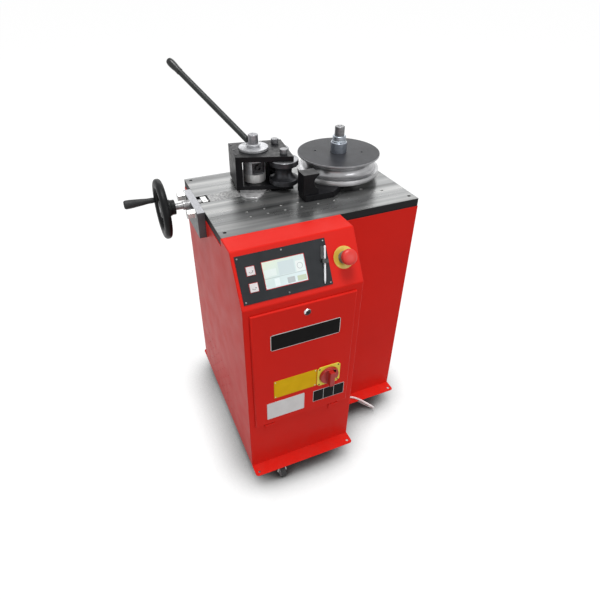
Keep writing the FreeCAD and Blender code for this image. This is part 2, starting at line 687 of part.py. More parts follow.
# Main switch: yellow plate on the door, the switch's body behind it and the knob in front
def make_switch_plate():
    half = s.switch_side / 2
    nip = s.switch_nip
    corners = [
        (nip - half, -half), (half - nip, -half), (half, nip - half), (half, half - nip),
        (half - nip, half), (nip - half, half), (-half, half - nip), (-half, nip - half),
    ]
    bore = s.knob_stem + s.run_gap
    face = plate("switch_face", "XZ_Plane", corners, s.switch_sheet, switch_x, door_face, switch_z,
                 holes=[(0, 0, bore)])
    neck = ring("switch_neck", bore, s.knob_stem + s.key_wall * 2, wall, switch_x, door_face, switch_z,
                ALONG_Y)
    body = box("switch_case", s.switch_body, s.switch_body_depth, s.switch_body,
               switch_x - s.switch_body / 2, door_face + wall, switch_z - s.switch_body / 2)
    bored = cut("switch_case_bored", body,
                cylinder("switch_case_bore", bore, s.switch_body_depth * 0.7, switch_x,
                         door_face + wall - s.over, switch_z, ALONG_Y))
    return fuse("switch_plate_solid", face, neck, bored)


piece(make_switch_plate(), "switch_plate")


def make_knob():
    face = door_face - s.switch_sheet - s.run_gap
    disc = cone("knob_disc", s.knob_radius, s.knob_radius - s.run_gap * 10, s.knob_disc, switch_x, face,
                switch_z, AGAINST_Y)
    bar = box("knob_bar", s.knob_bar, s.knob_grip, s.knob_radius * 1.7, switch_x - s.knob_bar / 2,
              face - s.knob_disc - s.knob_grip, switch_z - s.knob_radius * 0.85)
    stem = cylinder("knob_stem", s.knob_stem, s.switch_body_depth / 2, switch_x, face, switch_z, ALONG_Y)
    return fuse("knob", disc, bar, stem)


piece(make_knob(), "switch_knob")

# Control plate on the slanted face, with the key wells behind it and the pen's clip on it
key_x = left + s.key_left + s.key_side / 2
key_downs = [s.key_upper + s.key_side / 2, s.key_lower + s.key_side / 2]
pen_turn = slope_turn.multiply(Rotation(Vector(0, 0, 1), -float(s.pen_lean)))
pen_along = pen_turn.multiply(ALONG_Y)
pen_out = s.plate_sheet + s.pen_lift + s.pen_radius


def along_pen(reach, aside, out):
    """Place by the pen: the way up its length from its middle, the way aside and off the face."""
    x = left + s.pen_x + reach * sine(s.pen_lean) + aside * cosine(s.pen_lean)
    down = s.pen_s - reach * cosine(s.pen_lean) + aside * sine(s.pen_lean)
    return on_slope(x, down, out)


def make_control_plate():
    face = slope_box("control_sheet", left + s.plate_left, s.plate_top, 0, s.plate_width, s.plate_drop,
                     s.plate_sheet)
    gap = s.fit_gap
    window = slope_box("screen_window", left + s.screen_left - gap, s.screen_top - gap, -s.over,
                       s.screen_width + gap * 2, s.screen_drop + gap * 2, s.plate_sheet + s.over * 2)
    wells = []
    holes = []
    half = s.key_side / 2
    for i, down in enumerate(key_downs):
        well = half + s.key_wall
        depth = s.key_depth + s.key_floor
        wells.append(slope_box(f"key_well_{i}", key_x - well, down - well, -depth, well * 2, well * 2, depth))
        holes.append(slope_box(f"key_hole_{i}", key_x - half, down - half, -s.key_depth, s.key_side,
                               s.key_side, s.key_depth + s.plate_sheet + s.over))
    height = s.pen_lift + s.pen_radius * 2 + s.clip_wall
    clip = box("pen_clip", s.clip_width, s.clip_length, height,
               *along_pen(s.clip_at - s.clip_length / 2, -s.clip_width / 2, s.plate_sheet), pen_turn)
    bore = cylinder("pen_clip_bore", s.pen_radius + s.run_gap, s.clip_length * 2,
                    *along_pen(s.clip_at - s.clip_length, 0, pen_out), pen_along)
    return cut("control", fuse("control_solid", face, clip, *wells), window, bore, *holes)


piece(make_control_plate(), "control_plate")


def make_screws():
    """The six screws of the control plate and the four sunk screws of the table."""
    screws = []
    inset = s.plate_screw_inset
    for i, (a, b) in enumerate(((0, 0), (0.5, 0), (1, 0), (1, 1), (0.5, 1), (0, 1))):
        x = left + s.plate_left + inset + (s.plate_width - inset * 2) * a
        down = s.plate_top + inset + (s.plate_drop - inset * 2) * b
        screws.append(slope_cone(f"plate_screw_{i}", s.plate_screw, s.plate_screw * 0.7, s.plate_screw_head,
                                 x, down, s.plate_sheet))
    for i, (x, y) in enumerate(table_corners()):
        screws.append(cylinder(f"table_screw_{i}", s.corner_screw, s.table_thickness - s.corner_screw_sunk,
                               x, y, under_table))
    return group("screw_set", *screws)


def table_corners():
    return [(left + s.corner_inset_x, front + s.corner_inset_y),
            (right - s.corner_inset_x, front + s.corner_inset_y),
            (right - s.corner_inset_x, back - s.corner_inset_x),
            (left + s.corner_inset_x, back - s.corner_inset_x)]


piece(make_screws(), "fixing_screws")

# Screen: glass in the plate's window, its module behind
lap = s.screen_lap
piece(fuse("screen",
           slope_box("screen_glass", left + s.screen_left, s.screen_top, 0, s.screen_width,
                     s.screen_drop, s.plate_sheet - s.screen_sunk),
           slope_box("screen_module", left + s.screen_left - lap, s.screen_top - lap, -s.screen_depth,
                     s.screen_width + lap * 2, s.screen_drop + lap * 2, s.screen_depth)),
      "display_screen")

# Keys: two square caps in their wells
for key_name, key_down in zip(("key_upper", "key_lower"), key_downs):
    cap_half = s.key_side / 2 - s.run_gap
    sunk = s.key_depth - s.key_travel_room
    piece(slope_box(key_name + "_cap", key_x - cap_half, key_down - cap_half, -sunk, cap_half * 2,
                    cap_half * 2, sunk + s.plate_sheet + s.key_proud), key_name)

# Pen in its clip
piece(fuse("pen",
           cylinder("pen_barrel", s.pen_radius, s.pen_length - s.pen_tip,
                    *along_pen(s.pen_tip - s.pen_length / 2, 0, pen_out), pen_along),
           cone("pen_point", s.pen_radius / 3, s.pen_radius, s.pen_tip,
                *along_pen(-s.pen_length / 2, 0, pen_out), pen_along)),
      "touch_pen")

# Emergency stop: disc, collar and contact block on the face, mushroom head on its plunger
stop_x = left + s.stop_x


def make_stop_base():
    disc = slope_cylinder("stop_disc", s.stop_disc, s.stop_disc_sheet, stop_x, s.stop_s, 0)
    collar = slope_cone("stop_collar", s.stop_collar, s.stop_collar - s.stop_disc_sheet * 2,
                        s.stop_collar_top - s.stop_disc_sheet, stop_x, s.stop_s, s.stop_disc_sheet)
    barrel = slope_cylinder("stop_barrel", s.stop_barrel, s.stop_barrel_depth, stop_x, s.stop_s,
                            -s.stop_barrel_depth)
    block = slope_box("stop_block", stop_x - s.stop_block / 2, s.stop_s - s.stop_block / 2,
                      -s.stop_barrel_depth - s.stop_block_depth, s.stop_block, s.stop_block,
                      s.stop_block_depth)
    bore = slope_cylinder("stop_bore", s.stop_stem + s.run_gap, s.stop_barrel_depth + s.stop_collar_top,
                          stop_x, s.stop_s, s.over - s.stop_barrel_depth)
    return cut("stop_base", fuse("stop_base_solid", disc, collar, barrel, block), bore)


piece(make_stop_base(), "stop_button_base")


def make_stop_head():
    low = s.stop_head_low
    skirt = s.stop_head_height * 0.2
    middle = s.stop_head_height * 0.45
    shoulder = s.stop_head_height * 0.25
    crown = s.stop_head_height * 0.1
    solids = [
        slope_cone("head_skirt", s.stop_head * 0.7, s.stop_head, skirt, stop_x, s.stop_s, low),
        slope_cylinder("head_rim", s.stop_head, middle, stop_x, s.stop_s, low + skirt),
        slope_cone("head_shoulder", s.stop_head, s.stop_head * 0.8, shoulder, stop_x, s.stop_s,
                   low + skirt + middle),
        slope_cone("head_crown", s.stop_head * 0.8, s.stop_head * 0.5, crown, stop_x, s.stop_s,
                   low + skirt + middle + shoulder),
        slope_cylinder("stop_stem", s.stop_stem, low + s.stop_barrel_depth / 2, stop_x, s.stop_s,
                       -s.stop_barrel_depth / 2),
    ]
    return fuse("stop_head", *solids)


piece(make_stop_head(), "stop_button_head")


# Electrical panel across the column's open back, with what runs and guards the motor
def make_electrics():
    face = front - s.board_gap - s.board_sheet

    def device(name, width, depth, height, from_left, low):
        return box(name, width, depth, height, left + from_left, face - depth, base_top + low)

    board = box("mounting_board", s.column_width - wall * 2, s.board_sheet, s.board_height, left, face,
                base_top + s.board_low)
    fins = [device(f"drive_fin_{i}", s.fin_sheet, s.drive_depth + s.fin_reach,
                   s.drive_height - s.fin_trim * 2, s.drive_left + s.fin_inset + s.fin_pitch * i,
                   s.drive_low + s.fin_trim) for i in range(10)]
    drive = fuse("motor_drive", device("drive_case", s.drive_width, s.drive_depth, s.drive_height,
                                       s.drive_left, s.drive_low), *fins)
    contactors = [device(f"contactor_{i}", s.contactor_width, s.contactor_depth, s.contactor_height,
                         s.contactor_left + s.contactor_pitch * i, s.contactor_low) for i in range(3)]
    transformer = device("transformer", s.transformer_width, s.transformer_depth, s.transformer_height,
                         s.transformer_left, s.transformer_low)
    supply = device("power_supply", s.supply_width, s.supply_depth, s.supply_height, s.supply_left,
                    s.supply_low)
    clamps = [device(f"terminal_{i}", s.terminal_width, s.terminal_depth, s.terminal_height,
                     s.rail_left + s.terminal_inset + s.terminal_pitch * i,
                     s.rail_low - s.terminal_drop) for i in range(12)]
    terminals = fuse("terminal_block", device("terminal_rail", s.rail_length, s.rail_depth,
                                              s.rail_height, s.rail_left, s.rail_low), *clamps)
    return group("electrics", board, drive, *contactors, transformer, supply, terminals)


piece(make_electrics(), "electrical_panel")


# Table frame: welded square tube under the table, with the bed of the slide's slot
def make_table_frame():
    tube = s.frame_tube
    low = under_table - tube
    outer = box("frame_outside", table_length, table_depth, tube, left, front, low)
    inner = box("frame_inside", table_length - tube * 2, table_depth - tube * 2, tube + s.over * 2,
                left + tube, front + tube, low - s.over)
    cross = box("frame_cross", tube, table_depth - tube * 2, tube, left + s.slot_end - tube,
                front + tube, low)
    bed = box("slot_bed", s.slot_end - tube, s.slot_width + s.bed_lap * 2, s.slot_bed, left + tube / 2,
              slot_y - s.slot_width / 2 - s.bed_lap, under_table - s.slot_bed)
    return fuse("table_frame_solid", cut("frame_ring", outer, inner), cross, bed)


piece(make_table_frame(), "table_frame")


# Table: ground steel plate with the slide's slot, the spindle's bore and the tooling holes
def make_table():
    slot_low = slot_y - s.slot_width / 2
    slot_high = slot_y + s.slot_width / 2
    slot_right = left + s.slot_end
    outline = [
        (left, front), (right, front), (right, back), (left, back), (left, slot_high),
        (slot_right, slot_high), (slot_right, slot_low), (left, slot_low),
    ]
    holes = [(die_x, die_y, s.bearing_radius)]
    holes += [(x, y, s.corner_screw) for x, y in table_corners()]
    first_x = left + s.tool_first_x
    row_y = front + s.tool_front_y
    holes += [(first_x + s.tool_pitch * i, row_y, s.tool_hole) for i in range(6)]
    holes += [(first_x + s.tool_pitch * i, row_y + s.tool_row_gap, s.tool_hole) for i in range(4)]
    holes += [(right - s.tool_pitch * 1.35, row_y + s.tool_row_gap / 4, s.stop_hole),
              (right - s.tool_pitch * 2.4, row_y + s.tool_row_gap * 1.25, s.stop_hole)]
    return plate("table", "XY_Plane", outline, s.table_thickness, 0, 0, under_table, holes=holes)


piece(make_table(), "table_plate")

# Gearbox under the table, open at the top, with a floor that carries the lower bearing and the motor
gear_z = top - s.gear_drop
gearbox_floor = under_table - s.gearbox_depth


def make_gearbox():
    end = pinion_x - pinion_pitch - s.gear_module - s.gear_room - s.gearbox_wall
    outer = box("gearbox_outside", die_x + gearbox_half - end, gearbox_half * 2, s.gearbox_depth, end,
                die_y - gearbox_half, gearbox_floor)
    thick = s.gearbox_wall
    inner = box("gearbox_inside", die_x + gearbox_half - end - thick * 2, (gearbox_half - thick) * 2,
                s.gearbox_depth, end + thick, die_y - gearbox_half + thick, gearbox_floor + thick * 2)
    seat = cylinder("bearing_seat", s.lower_bearing, thick * 2, die_x, die_y, gearbox_floor + thick / 2)
    shaft_hole = cylinder("shaft_hole", s.pinion_shaft + s.run_gap, thick * 3, pinion_x, die_y,
                          gearbox_floor - s.over)
    return cut("gearbox", outer, inner, seat, shaft_hole)


piece(make_gearbox(), "gearbox_housing")

journal = s.spindle_radius + s.spindle_shoulder
piece(group("bearing_set",
            ring("upper_bearing", journal + s.run_gap, s.bearing_radius, s.bearing_width, die_x, die_y,
                 under_table),
            ring("lower_bearing_ring", s.spindle_radius + s.run_gap, s.lower_bearing,
                 s.lower_bearing_width, die_x, die_y, gearbox_floor + s.gearbox_wall / 2)),
      "spindle_bearings")


def toothed(name, teeth, width, bore, x, z, phase):
    """A spur gear: trapezoid teeth on the pitch circle, a little thin so that they run free."""
    count = round(float(teeth))
    module = float(s.gear_module)
    pitch = module * count / 2
    flank = ((pitch - 1.2 * module, 0.98), (pitch, 0.66), (pitch + 0.85 * module, 0.30))
    points = []
    for tooth in range(count):
        middle = 2 * math.pi * tooth / count + phase
        for radius, half in flank:
            points.append((radius, middle - half * module / radius))
        for radius, half in flank[::-1]:
            points.append((radius, middle + half * module / radius))
    points.append(points[0])
    outline = Part.makePolygon([Vector(r * math.cos(a), r * math.sin(a), 0) for r, a in points])
    solid = Part.Face(outline).extrude(Vector(0, 0, float(width)))
    if bore:
        hole = Part.makeCylinder(float(bore), float(width) + 2, Vector(0, 0, -1))
        solid = solid.cut(hole)
    feature = doc.addObject("Part::Feature", name)
    feature.Shape = solid
    return put(feature, x, die_y, z)


piece(toothed("spindle_gear_wheel", s.gear_teeth, s.gear_width, journal, die_x, gear_z, 0), "spindle_gear")
# a gap of the pinion faces the tooth of the gear that lies on the line of centres
towards_pinion = (float(s.gear_teeth) / 2) % 1
pinion_phase = (0.5 - towards_pinion) * 2 * math.pi / round(float(s.pinion_teeth))
piece(fuse("pinion",
           toothed("pinion_teeth", s.pinion_teeth, s.gear_width, 0, pinion_x, gear_z, pinion_phase),
           cylinder("pinion_axle", s.pinion_shaft, gear_z + s.gear_width - gearbox_floor + s.shaft_reach,
                    pinion_x, die_y, gearbox_floor - s.shaft_reach)),
      "pinion_shaft")


def make_motor():
    low = gearbox_floor - s.motor_length
    flange = cylinder("motor_flange", s.motor_radius, s.motor_flange, pinion_x, die_y,
                      gearbox_floor - s.motor_flange)
    body = cylinder("motor_body", s.motor_body, s.motor_length, pinion_x, die_y, low)
    cowl = cylinder("motor_cowl", s.motor_radius, s.cowl_length, pinion_x, die_y, low)
    fins = []
    pitch = s.motor_body * 0.2
    for i in range(-4, 5):
        fins.append(box(f"motor_fin_{i + 4}", s.motor_radius * 2, s.fork_sheet,
                        s.motor_length - s.cowl_length * 2, pinion_x - s.motor_radius,
                        die_y + pitch * i - s.fork_sheet / 2, low + s.cowl_length))
    reach = cylinder("motor_fin_reach", s.motor_radius, s.motor_length, pinion_x, die_y, low)
    fin_set = common("motor_fins", fuse("motor_fin_rows", *fins), reach)
    terminal_box = box("motor_terminal_box", s.motor_radius, s.motor_radius, s.cowl_length * 2,
                       pinion_x - s.motor_radius / 2, die_y - s.motor_radius * 1.4,
                       gearbox_floor - s.cowl_length * 3)
    bore = cylinder("motor_bore", s.pinion_shaft + s.run_gap, s.shaft_reach + s.over, pinion_x, die_y,
                    gearbox_floor - s.shaft_reach - s.over / 2)
    return cut("motor", fuse("motor_solid", flange, body, cowl, fin_set, terminal_box), bore)


piece(make_motor(), "drive_motor")

# Spindle: one turned shaft from the gearbox floor to above the die
spindle_low = gearbox_floor + s.gearbox_wall / 2 - top
die_top = s.die_base + s.die_height
piece(turned("spindle_shaft", [
    (0, spindle_low), (s.spindle_radius, spindle_low), (s.spindle_radius, -s.gear_drop),
    (journal, -s.gear_drop), (journal, s.arm_lift), (s.spindle_radius, s.arm_lift),
    (s.spindle_radius, s.lower_collar_top - s.collar_lip),
    (s.spindle_top_radius, s.lower_collar_top - s.collar_lip),
    (s.spindle_top_radius, s.spindle_top - s.over * 2), (s.spindle_top_radius - s.over * 2, s.spindle_top),
    (0, s.spindle_top)], die_x, die_y, top), "spindle")


def make_spindle_collars():
    lip = s.over * 2
    low = die_top + s.cover_thick
    high = s.lower_collar_top
    lower = turned("lower_collar", [
        (s.spindle_radius, low), (s.lower_collar_radius, low), (s.lower_collar_radius, high - lip),
        (s.lower_collar_radius - lip, high), (s.spindle_top_radius, high),
        (s.spindle_top_radius, high - s.collar_lip), (s.spindle_radius, high - s.collar_lip)],
        die_x, die_y, top)
    upper = turned("upper_collar", [
        (s.spindle_top_radius, high), (s.upper_collar_radius, high),
        (s.upper_collar_radius, high + lip * 2), (s.upper_collar_radius - lip, high + lip * 3),
        (s.upper_collar_radius - lip, s.upper_collar_top - lip),
        (s.upper_collar_radius - lip * 2, s.upper_collar_top), (s.spindle_top_radius, s.upper_collar_top)],
        die_x, die_y, top)
    return group("spindle_collar_set", lower, upper)


piece(make_spindle_collars(), "spindle_collars")

# Bending die: a turned ring with the tube's round groove, under a dark cover disc
groove_circle = s.die_radius - s.groove_sink
die_blank = ring("die_blank", s.spindle_radius, s.die_radius, s.die_height, die_x, die_y, top + s.die_base)
die_groove = torus("die_groove", groove_circle, tube_radius, die_x, die_y, tube_z)
piece(cut("die", die_blank, die_groove), "bending_die")


def make_die_cover():
    low = top + die_top
    disc = ring("cover_disc", s.spindle_radius, s.die_radius, s.cover_thick, die_x, die_y, low)
    u = s.cover_hole_circle * cosine(s.cover_hole_angle)
    v = s.cover_hole_circle * sine(s.cover_hole_angle)
    holes = [cylinder(f"cover_hole_{i}", s.cover_hole, s.cover_thick + s.over * 2, die_x + u * sign,
                      die_y + v * sign, low - s.over) for i, sign in enumerate((1, -1))]
    return cut("cover", disc, *holes)


piece(make_die_cover(), "die_cover")

# Hook: the arm under the die, and the block whose round notch holds the tube
hook_x = die_x - s.die_radius - s.hook_gap - s.hook_length
hook_y = front + s.hook_front


def make_arm():
    thick = s.die_base - s.arm_lift
    low = top + s.arm_lift
    border = s.arm_border
    lean = 0.6
    rise = 0.8
    outline = [
        (hook_x + border, hook_y - border), (hook_x + s.hook_length * 2, hook_y - border),
        (die_x + s.arm_hub * lean, die_y - s.arm_hub * rise),
        (die_x - s.arm_hub * lean, die_y + s.arm_hub * rise),
        (hook_x + border, hook_y + s.hook_width + border),
    ]
    web = plate("arm_web", "XY_Plane", outline, thick, 0, 0, low)
    hub = cylinder("arm_hub", s.arm_hub, thick, die_x, die_y, low)
    bore = cylinder("arm_bore", s.spindle_radius, thick + s.over * 2, die_x, die_y, low - s.over)
    return cut("arm", fuse("arm_solid", web, hub), bore)


piece(make_arm(), "hook_arm")

hook_blank = box("hook_blank", s.hook_length, s.hook_width, s.hook_top - s.die_base, hook_x, hook_y,
                 top + s.die_base)
hook_notch = cylinder("hook_notch", tube_radius, s.hook_width + s.over * 2, die_x - groove_circle,
                      hook_y - s.over, tube_z, ALONG_Y)
piece(cut("hook", hook_blank, hook_notch), "hook_block")

# Lead screw, its bracket and bearing block, handwheel and crank at the table's left end
screw_z = top - s.screw_drop
bracket_x = left - s.bracket_thick


def make_bracket():
    outline = rectangle(slot_y - s.bracket_half, top - s.bracket_drop, s.bracket_half * 2, s.bracket_drop)
    slab = plate("bracket_slab", "YZ_Plane", outline, s.bracket_thick, bracket_x, 0, 0,
                 holes=[(slot_y, screw_z, s.neck_bore + s.run_gap)])
    block = box("bearing_block", s.block_length, s.block_width, s.table_thickness, left + s.block_left,
                slot_y - s.block_width / 2, under_table)
    bore = cylinder("bearing_block_bore", s.screw_radius + s.run_gap, s.block_length + s.over * 2,
                    left + s.block_left - s.over, slot_y, screw_z, ALONG_X)
    return group("bracket_set", slab, cut("bored_block", block, bore))


piece(make_bracket(), "end_bracket")


def make_bolt(side):
    y = slot_y + s.bolt_spread * side
    washer = cylinder(f"bolt_washer_{side + 1}", s.washer_radius, s.washer_sheet, bracket_x, y, screw_z,
                      AGAINST_X)
    head = hexagon(f"bolt_head_{side + 1}", s.bolt_across, s.bolt_head, bracket_x - s.washer_sheet, y,
                   screw_z, AGAINST_X)
    return fuse(f"bolt_{side + 1}", washer, head)


piece(group("bolt_set", make_bolt(-1), make_bolt(1)), "bracket_bolts")

wheel_x = left - s.wheel_offset
journal_left = wheel_x - s.hub_back
piece(fuse("screw_solid",
           cylinder("screw_thread", s.screw_radius, s.screw_end, left, slot_y, screw_z, ALONG_X),
           cylinder("screw_journal", s.journal_radius, bracket_x - s.run_gap - journal_left, journal_left,
                    slot_y, screw_z, ALONG_X),
           cylinder("screw_neck", s.neck_bore, s.bracket_thick + s.block_left / 2, bracket_x - s.run_gap,
                    slot_y, screw_z, ALONG_X),
           cylinder("thrust_ring", s.journal_radius, s.block_left - s.run_gap * 2, left + s.run_gap,
                    slot_y, screw_z, ALONG_X),
           cylinder("screw_collar", s.collar_radius, s.collar_length,
                    bracket_x - s.run_gap - s.collar_length, slot_y, screw_z, ALONG_X)),
      "lead_screw")


def make_handwheel():
    rim = torus("wheel_rim", s.wheel_radius, s.rim_radius, wheel_x, slot_y, screw_z, ALONG_X)
    nave = cylinder("wheel_nave", s.hub_radius, s.hub_back * 2, journal_left, slot_y, screw_z, ALONG_X)
    hub = cone("wheel_hub", s.hub_radius, s.hub_end_radius, s.hub_length - s.hub_back,
               wheel_x + s.hub_back, slot_y, screw_z, ALONG_X)
    spokes = []
    for i in range(3):
        turn = Rotation(Vector(1, 0, 0), 120 * i)
        corner = turn.multVec(Vector(-float(s.spoke_thick) / 2, -float(s.spoke_width) / 2, 0))
        spokes.append(box(f"spoke_{i}", s.spoke_thick, s.spoke_width, s.wheel_radius, wheel_x + corner.x,
                          slot_y + corner.y, screw_z + corner.z, turn))
    bore = cylinder("wheel_bore", s.journal_radius, s.hub_length * 2, journal_left - s.over, slot_y,
                    screw_z, ALONG_X)
    pin_hole = cylinder("crank_hole", s.crank_pin + s.run_gap, s.rim_radius * 3,
                        wheel_x - s.rim_radius * 1.5, slot_y + s.crank_radius, screw_z, ALONG_X)
    return cut("wheel", fuse("wheel_solid", rim, nave, hub, *spokes), bore, pin_hole)


piece(make_handwheel(), "handwheel")

# Crank grip: a turned handle on its pin, waisted near the wheel and full at the end
grip = s.crank_grip
piece(turned("crank", [
    (0, -s.crank_pin_length), (s.crank_pin, -s.crank_pin_length), (s.crank_pin, 0),
    (grip * 0.6, 0), (grip * 0.65, s.crank_length * 0.08), (grip * 0.62, s.crank_length * 0.2),
    (grip * 0.8, s.crank_length * 0.45), (grip, s.crank_length * 0.8), (grip, s.crank_length * 0.95),
    (grip * 0.75, s.crank_length), (0, s.crank_length)],
    wheel_x - s.rim_radius - s.run_gap, slot_y + s.crank_radius, screw_z, AGAINST_X), "crank_grip")

# Slide in the table's slot with its bronze nut, and the saddle on it
slide_x = left + s.slide_left
pivot_x = left + s.pivot_x
pivot_y = slot_y + s.pivot_dy
drum_x = pivot_x + s.drum_dx
drum_y = pivot_y + s.drum_dy
tenon_x = pivot_x + s.saddle_front_dx - s.tenon_length / 2


def make_slide():
    width = s.slot_width - s.slide_gap * 2
    blank = box("slide_blank", s.slide_length, width, s.table_thickness - s.run_gap, slide_x,
                slot_y - width / 2, under_table + s.run_gap)
    bore = cylinder("slide_bore", s.screw_radius + s.run_gap, s.slide_length + s.over * 2,
                    slide_x - s.over, slot_y, screw_z, ALONG_X)
    pocket = cylinder("nut_pocket", s.nut_radius, s.nut_length + s.over, slide_x - s.over, slot_y,
                      screw_z, ALONG_X)
    mortise = box("slide_mortise", s.tenon_length, s.tenon_width, s.tenon_depth + s.over, tenon_x,
                  slot_y - s.tenon_width / 2, top - s.tenon_depth)
    nut = ring("bronze_nut", s.screw_radius + s.run_gap, s.nut_radius, s.nut_length, slide_x, slot_y,
               screw_z, ALONG_X)
    return group("slide_set", cut("slide", blank, bore, pocket, mortise), nut)


piece(make_slide(), "slide_bar")


def make_saddle():
    low = top + s.run_gap
    deck = hull("saddle_deck",
                (pivot_x + s.saddle_front_dx, slot_y + s.saddle_front_dy, s.saddle_front_radius),
                (pivot_x + s.saddle_rear_dx, pivot_y + s.saddle_rear_dy, s.saddle_rear_radius),
                s.saddle_thick - s.run_gap, low)
    tenon = box("saddle_tenon", s.tenon_length, s.tenon_width, s.tenon_depth + s.saddle_thick, tenon_x,
                slot_y - s.tenon_width / 2, top - s.tenon_depth)
    return fuse("saddle", deck, tenon)


piece(make_saddle(), "carriage_saddle")

pin_low = s.saddle_thick
piece(turned("pin", [
    (0, pin_low), (s.pivot_radius, pin_low), (s.pivot_radius, s.pivot_top - s.over * 3),
    (s.pivot_radius - s.over * 3, s.pivot_top), (0, s.pivot_top)], pivot_x, pivot_y, top), "pivot_pin")

# Yoke: two plates and two uprights that carry the rollers and slide on the saddle
yoke_z = top + s.saddle_thick + s.run_gap
room_z = yoke_z + s.yoke_floor
roof_z = room_z + s.yoke_room
roof_top = roof_z + s.yoke_roof
front_roller = (pivot_x + s.front_roller_dx, pivot_y + s.front_roller_dy)
rear_roller = (pivot_x + s.rear_roller_dx, pivot_y + s.rear_roller_dy)
yoke_corners = [
    (drum_x - s.drum_radius * 2, drum_y - s.drum_radius * 0.95),
    (front_roller[0] + s.roller_radius * 0.4, front_roller[1] - s.roller_radius * 0.8),
    (rear_roller[0] + s.roller_radius * 0.66, rear_roller[1] + s.roller_radius * 0.53),
    (drum_x - s.drum_radius * 1.5, rear_roller[1] + s.roller_radius * 1.2),
]


def yoke_plate(name, thickness, z, hole, *cuts):
    """One of the two plates, with the slot that lets it slide past a round of the given radius."""
    pins = [(x, y, s.roller_pin) for x, y in (front_roller, rear_roller)]
    blank = plate(name + "_blank", "XY_Plane", yoke_corners, thickness, 0, 0, z, holes=pins)
    half = hole + s.sleeve_gap
    ends = (pivot_x - s.travel_in + s.sleeve_radius, pivot_x + s.travel_out - s.sleeve_radius)
    low = z - s.over
    tall = thickness + s.over * 2
    tools = [cylinder(f"{name}_slot_{i}", half, tall, x, pivot_y, low) for i, x in enumerate(ends)]
    tools.append(box(name + "_slot", ends[1] - ends[0], half * 2, tall, ends[0], pivot_y - half, low))
    return cut(name, blank, *tools, *cuts)


def make_kidney():
    """The curved slot beside the disc, sunk into the roof plate."""
    low = roof_top - s.kidney_depth
    sector = ring("kidney_ring", s.disc_radius - s.over * 5, s.disc_radius + s.over * 5,
                  s.kidney_depth + s.over, pivot_x, pivot_y, low)
    reach = s.disc_radius * 1.6
    corners = [(0, 0), (reach, reach * 0.3), (reach * 0.5, reach)]
    wedge = plate("kidney_wedge", "XY_Plane", corners, s.kidney_depth + s.over, pivot_x, pivot_y, low)
    return common("kidney", sector, wedge)


piece(yoke_plate("yoke_roof", s.yoke_roof, roof_z, s.sleeve_radius, make_kidney()), "yoke_top_plate")
piece(yoke_plate("yoke_floor", s.yoke_floor, yoke_z, s.pivot_radius), "yoke_bottom_plate")


def make_sides():
    (x0, y0), (x3, y3) = yoke_corners[0], yoke_corners[3]
    wide = s.side_plate
    outline = [(x0, y0), (x0 + wide, y0 - wide * 0.35), (x3 + wide, y3), (x3, y3)]
    side = plate("side_slab", "XY_Plane", outline, s.yoke_room, 0, 0, room_z)
    thrust = box("thrust_slab", s.thrust_thick, s.thrust_width, s.yoke_room,
                 drum_x + s.drum_radius + s.thrust_gap, drum_y - s.thrust_width * 0.55, room_z)
    screws = []
    for i in range(3):
        share = 0.15 + 0.35 * i
        x = x0 + (x3 - x0) * share + s.yoke_screw_inset
        y = y0 + (y3 - y0) * share
        screws.append(cylinder(f"yoke_screw_{i}", s.yoke_screw, s.yoke_screw_head, x, y, roof_top))
    return group("yoke_side_set", side, thrust, *screws)


piece(make_sides(), "yoke_side_plates")


def make_roller_pin(name, x, y):
    high = roof_top - yoke_z
    head = s.roller_head_height
    shank = turned(name + "_shank", [
        (0, 0), (s.roller_pin, 0), (s.roller_pin, high), (s.roller_pin_head, high),
        (s.roller_pin_head, high + head - s.over), (s.roller_pin_head - s.over, high + head),
        (0, high + head)], x, y, yoke_z)
    flat = box(name + "_flat", s.roller_pin_head, s.roller_pin_head * 2, head * 0.6,
               x + s.roller_pin_head * 0.7, y - s.roller_pin_head, roof_top)
    return cut(name, shank, flat)


piece(group("roller_pin_set", make_roller_pin("front_pin", *front_roller),
            make_roller_pin("rear_pin", *rear_roller)), "roller_pins")


def make_roller(name, x, y):
    height = s.yoke_room - s.roller_gap * 2
    edge = s.roller_edge
    bore = s.roller_pin + s.run_gap
    blank = turned(name + "_blank", [
        (bore, 0), (s.roller_radius - edge, 0), (s.roller_radius, edge), (s.roller_radius, height - edge),
        (s.roller_radius - edge, height), (bore, height)], x, y, room_z + s.roller_gap)
    groove = torus(name + "_groove", s.roller_waist + tube_radius, tube_radius, x, y, tube_z)
    return cut(name + "_solid", blank, groove)


piece(make_roller("front_roller", *front_roller), "roller_front")
piece(make_roller("rear_roller", *rear_roller), "roller_rear")


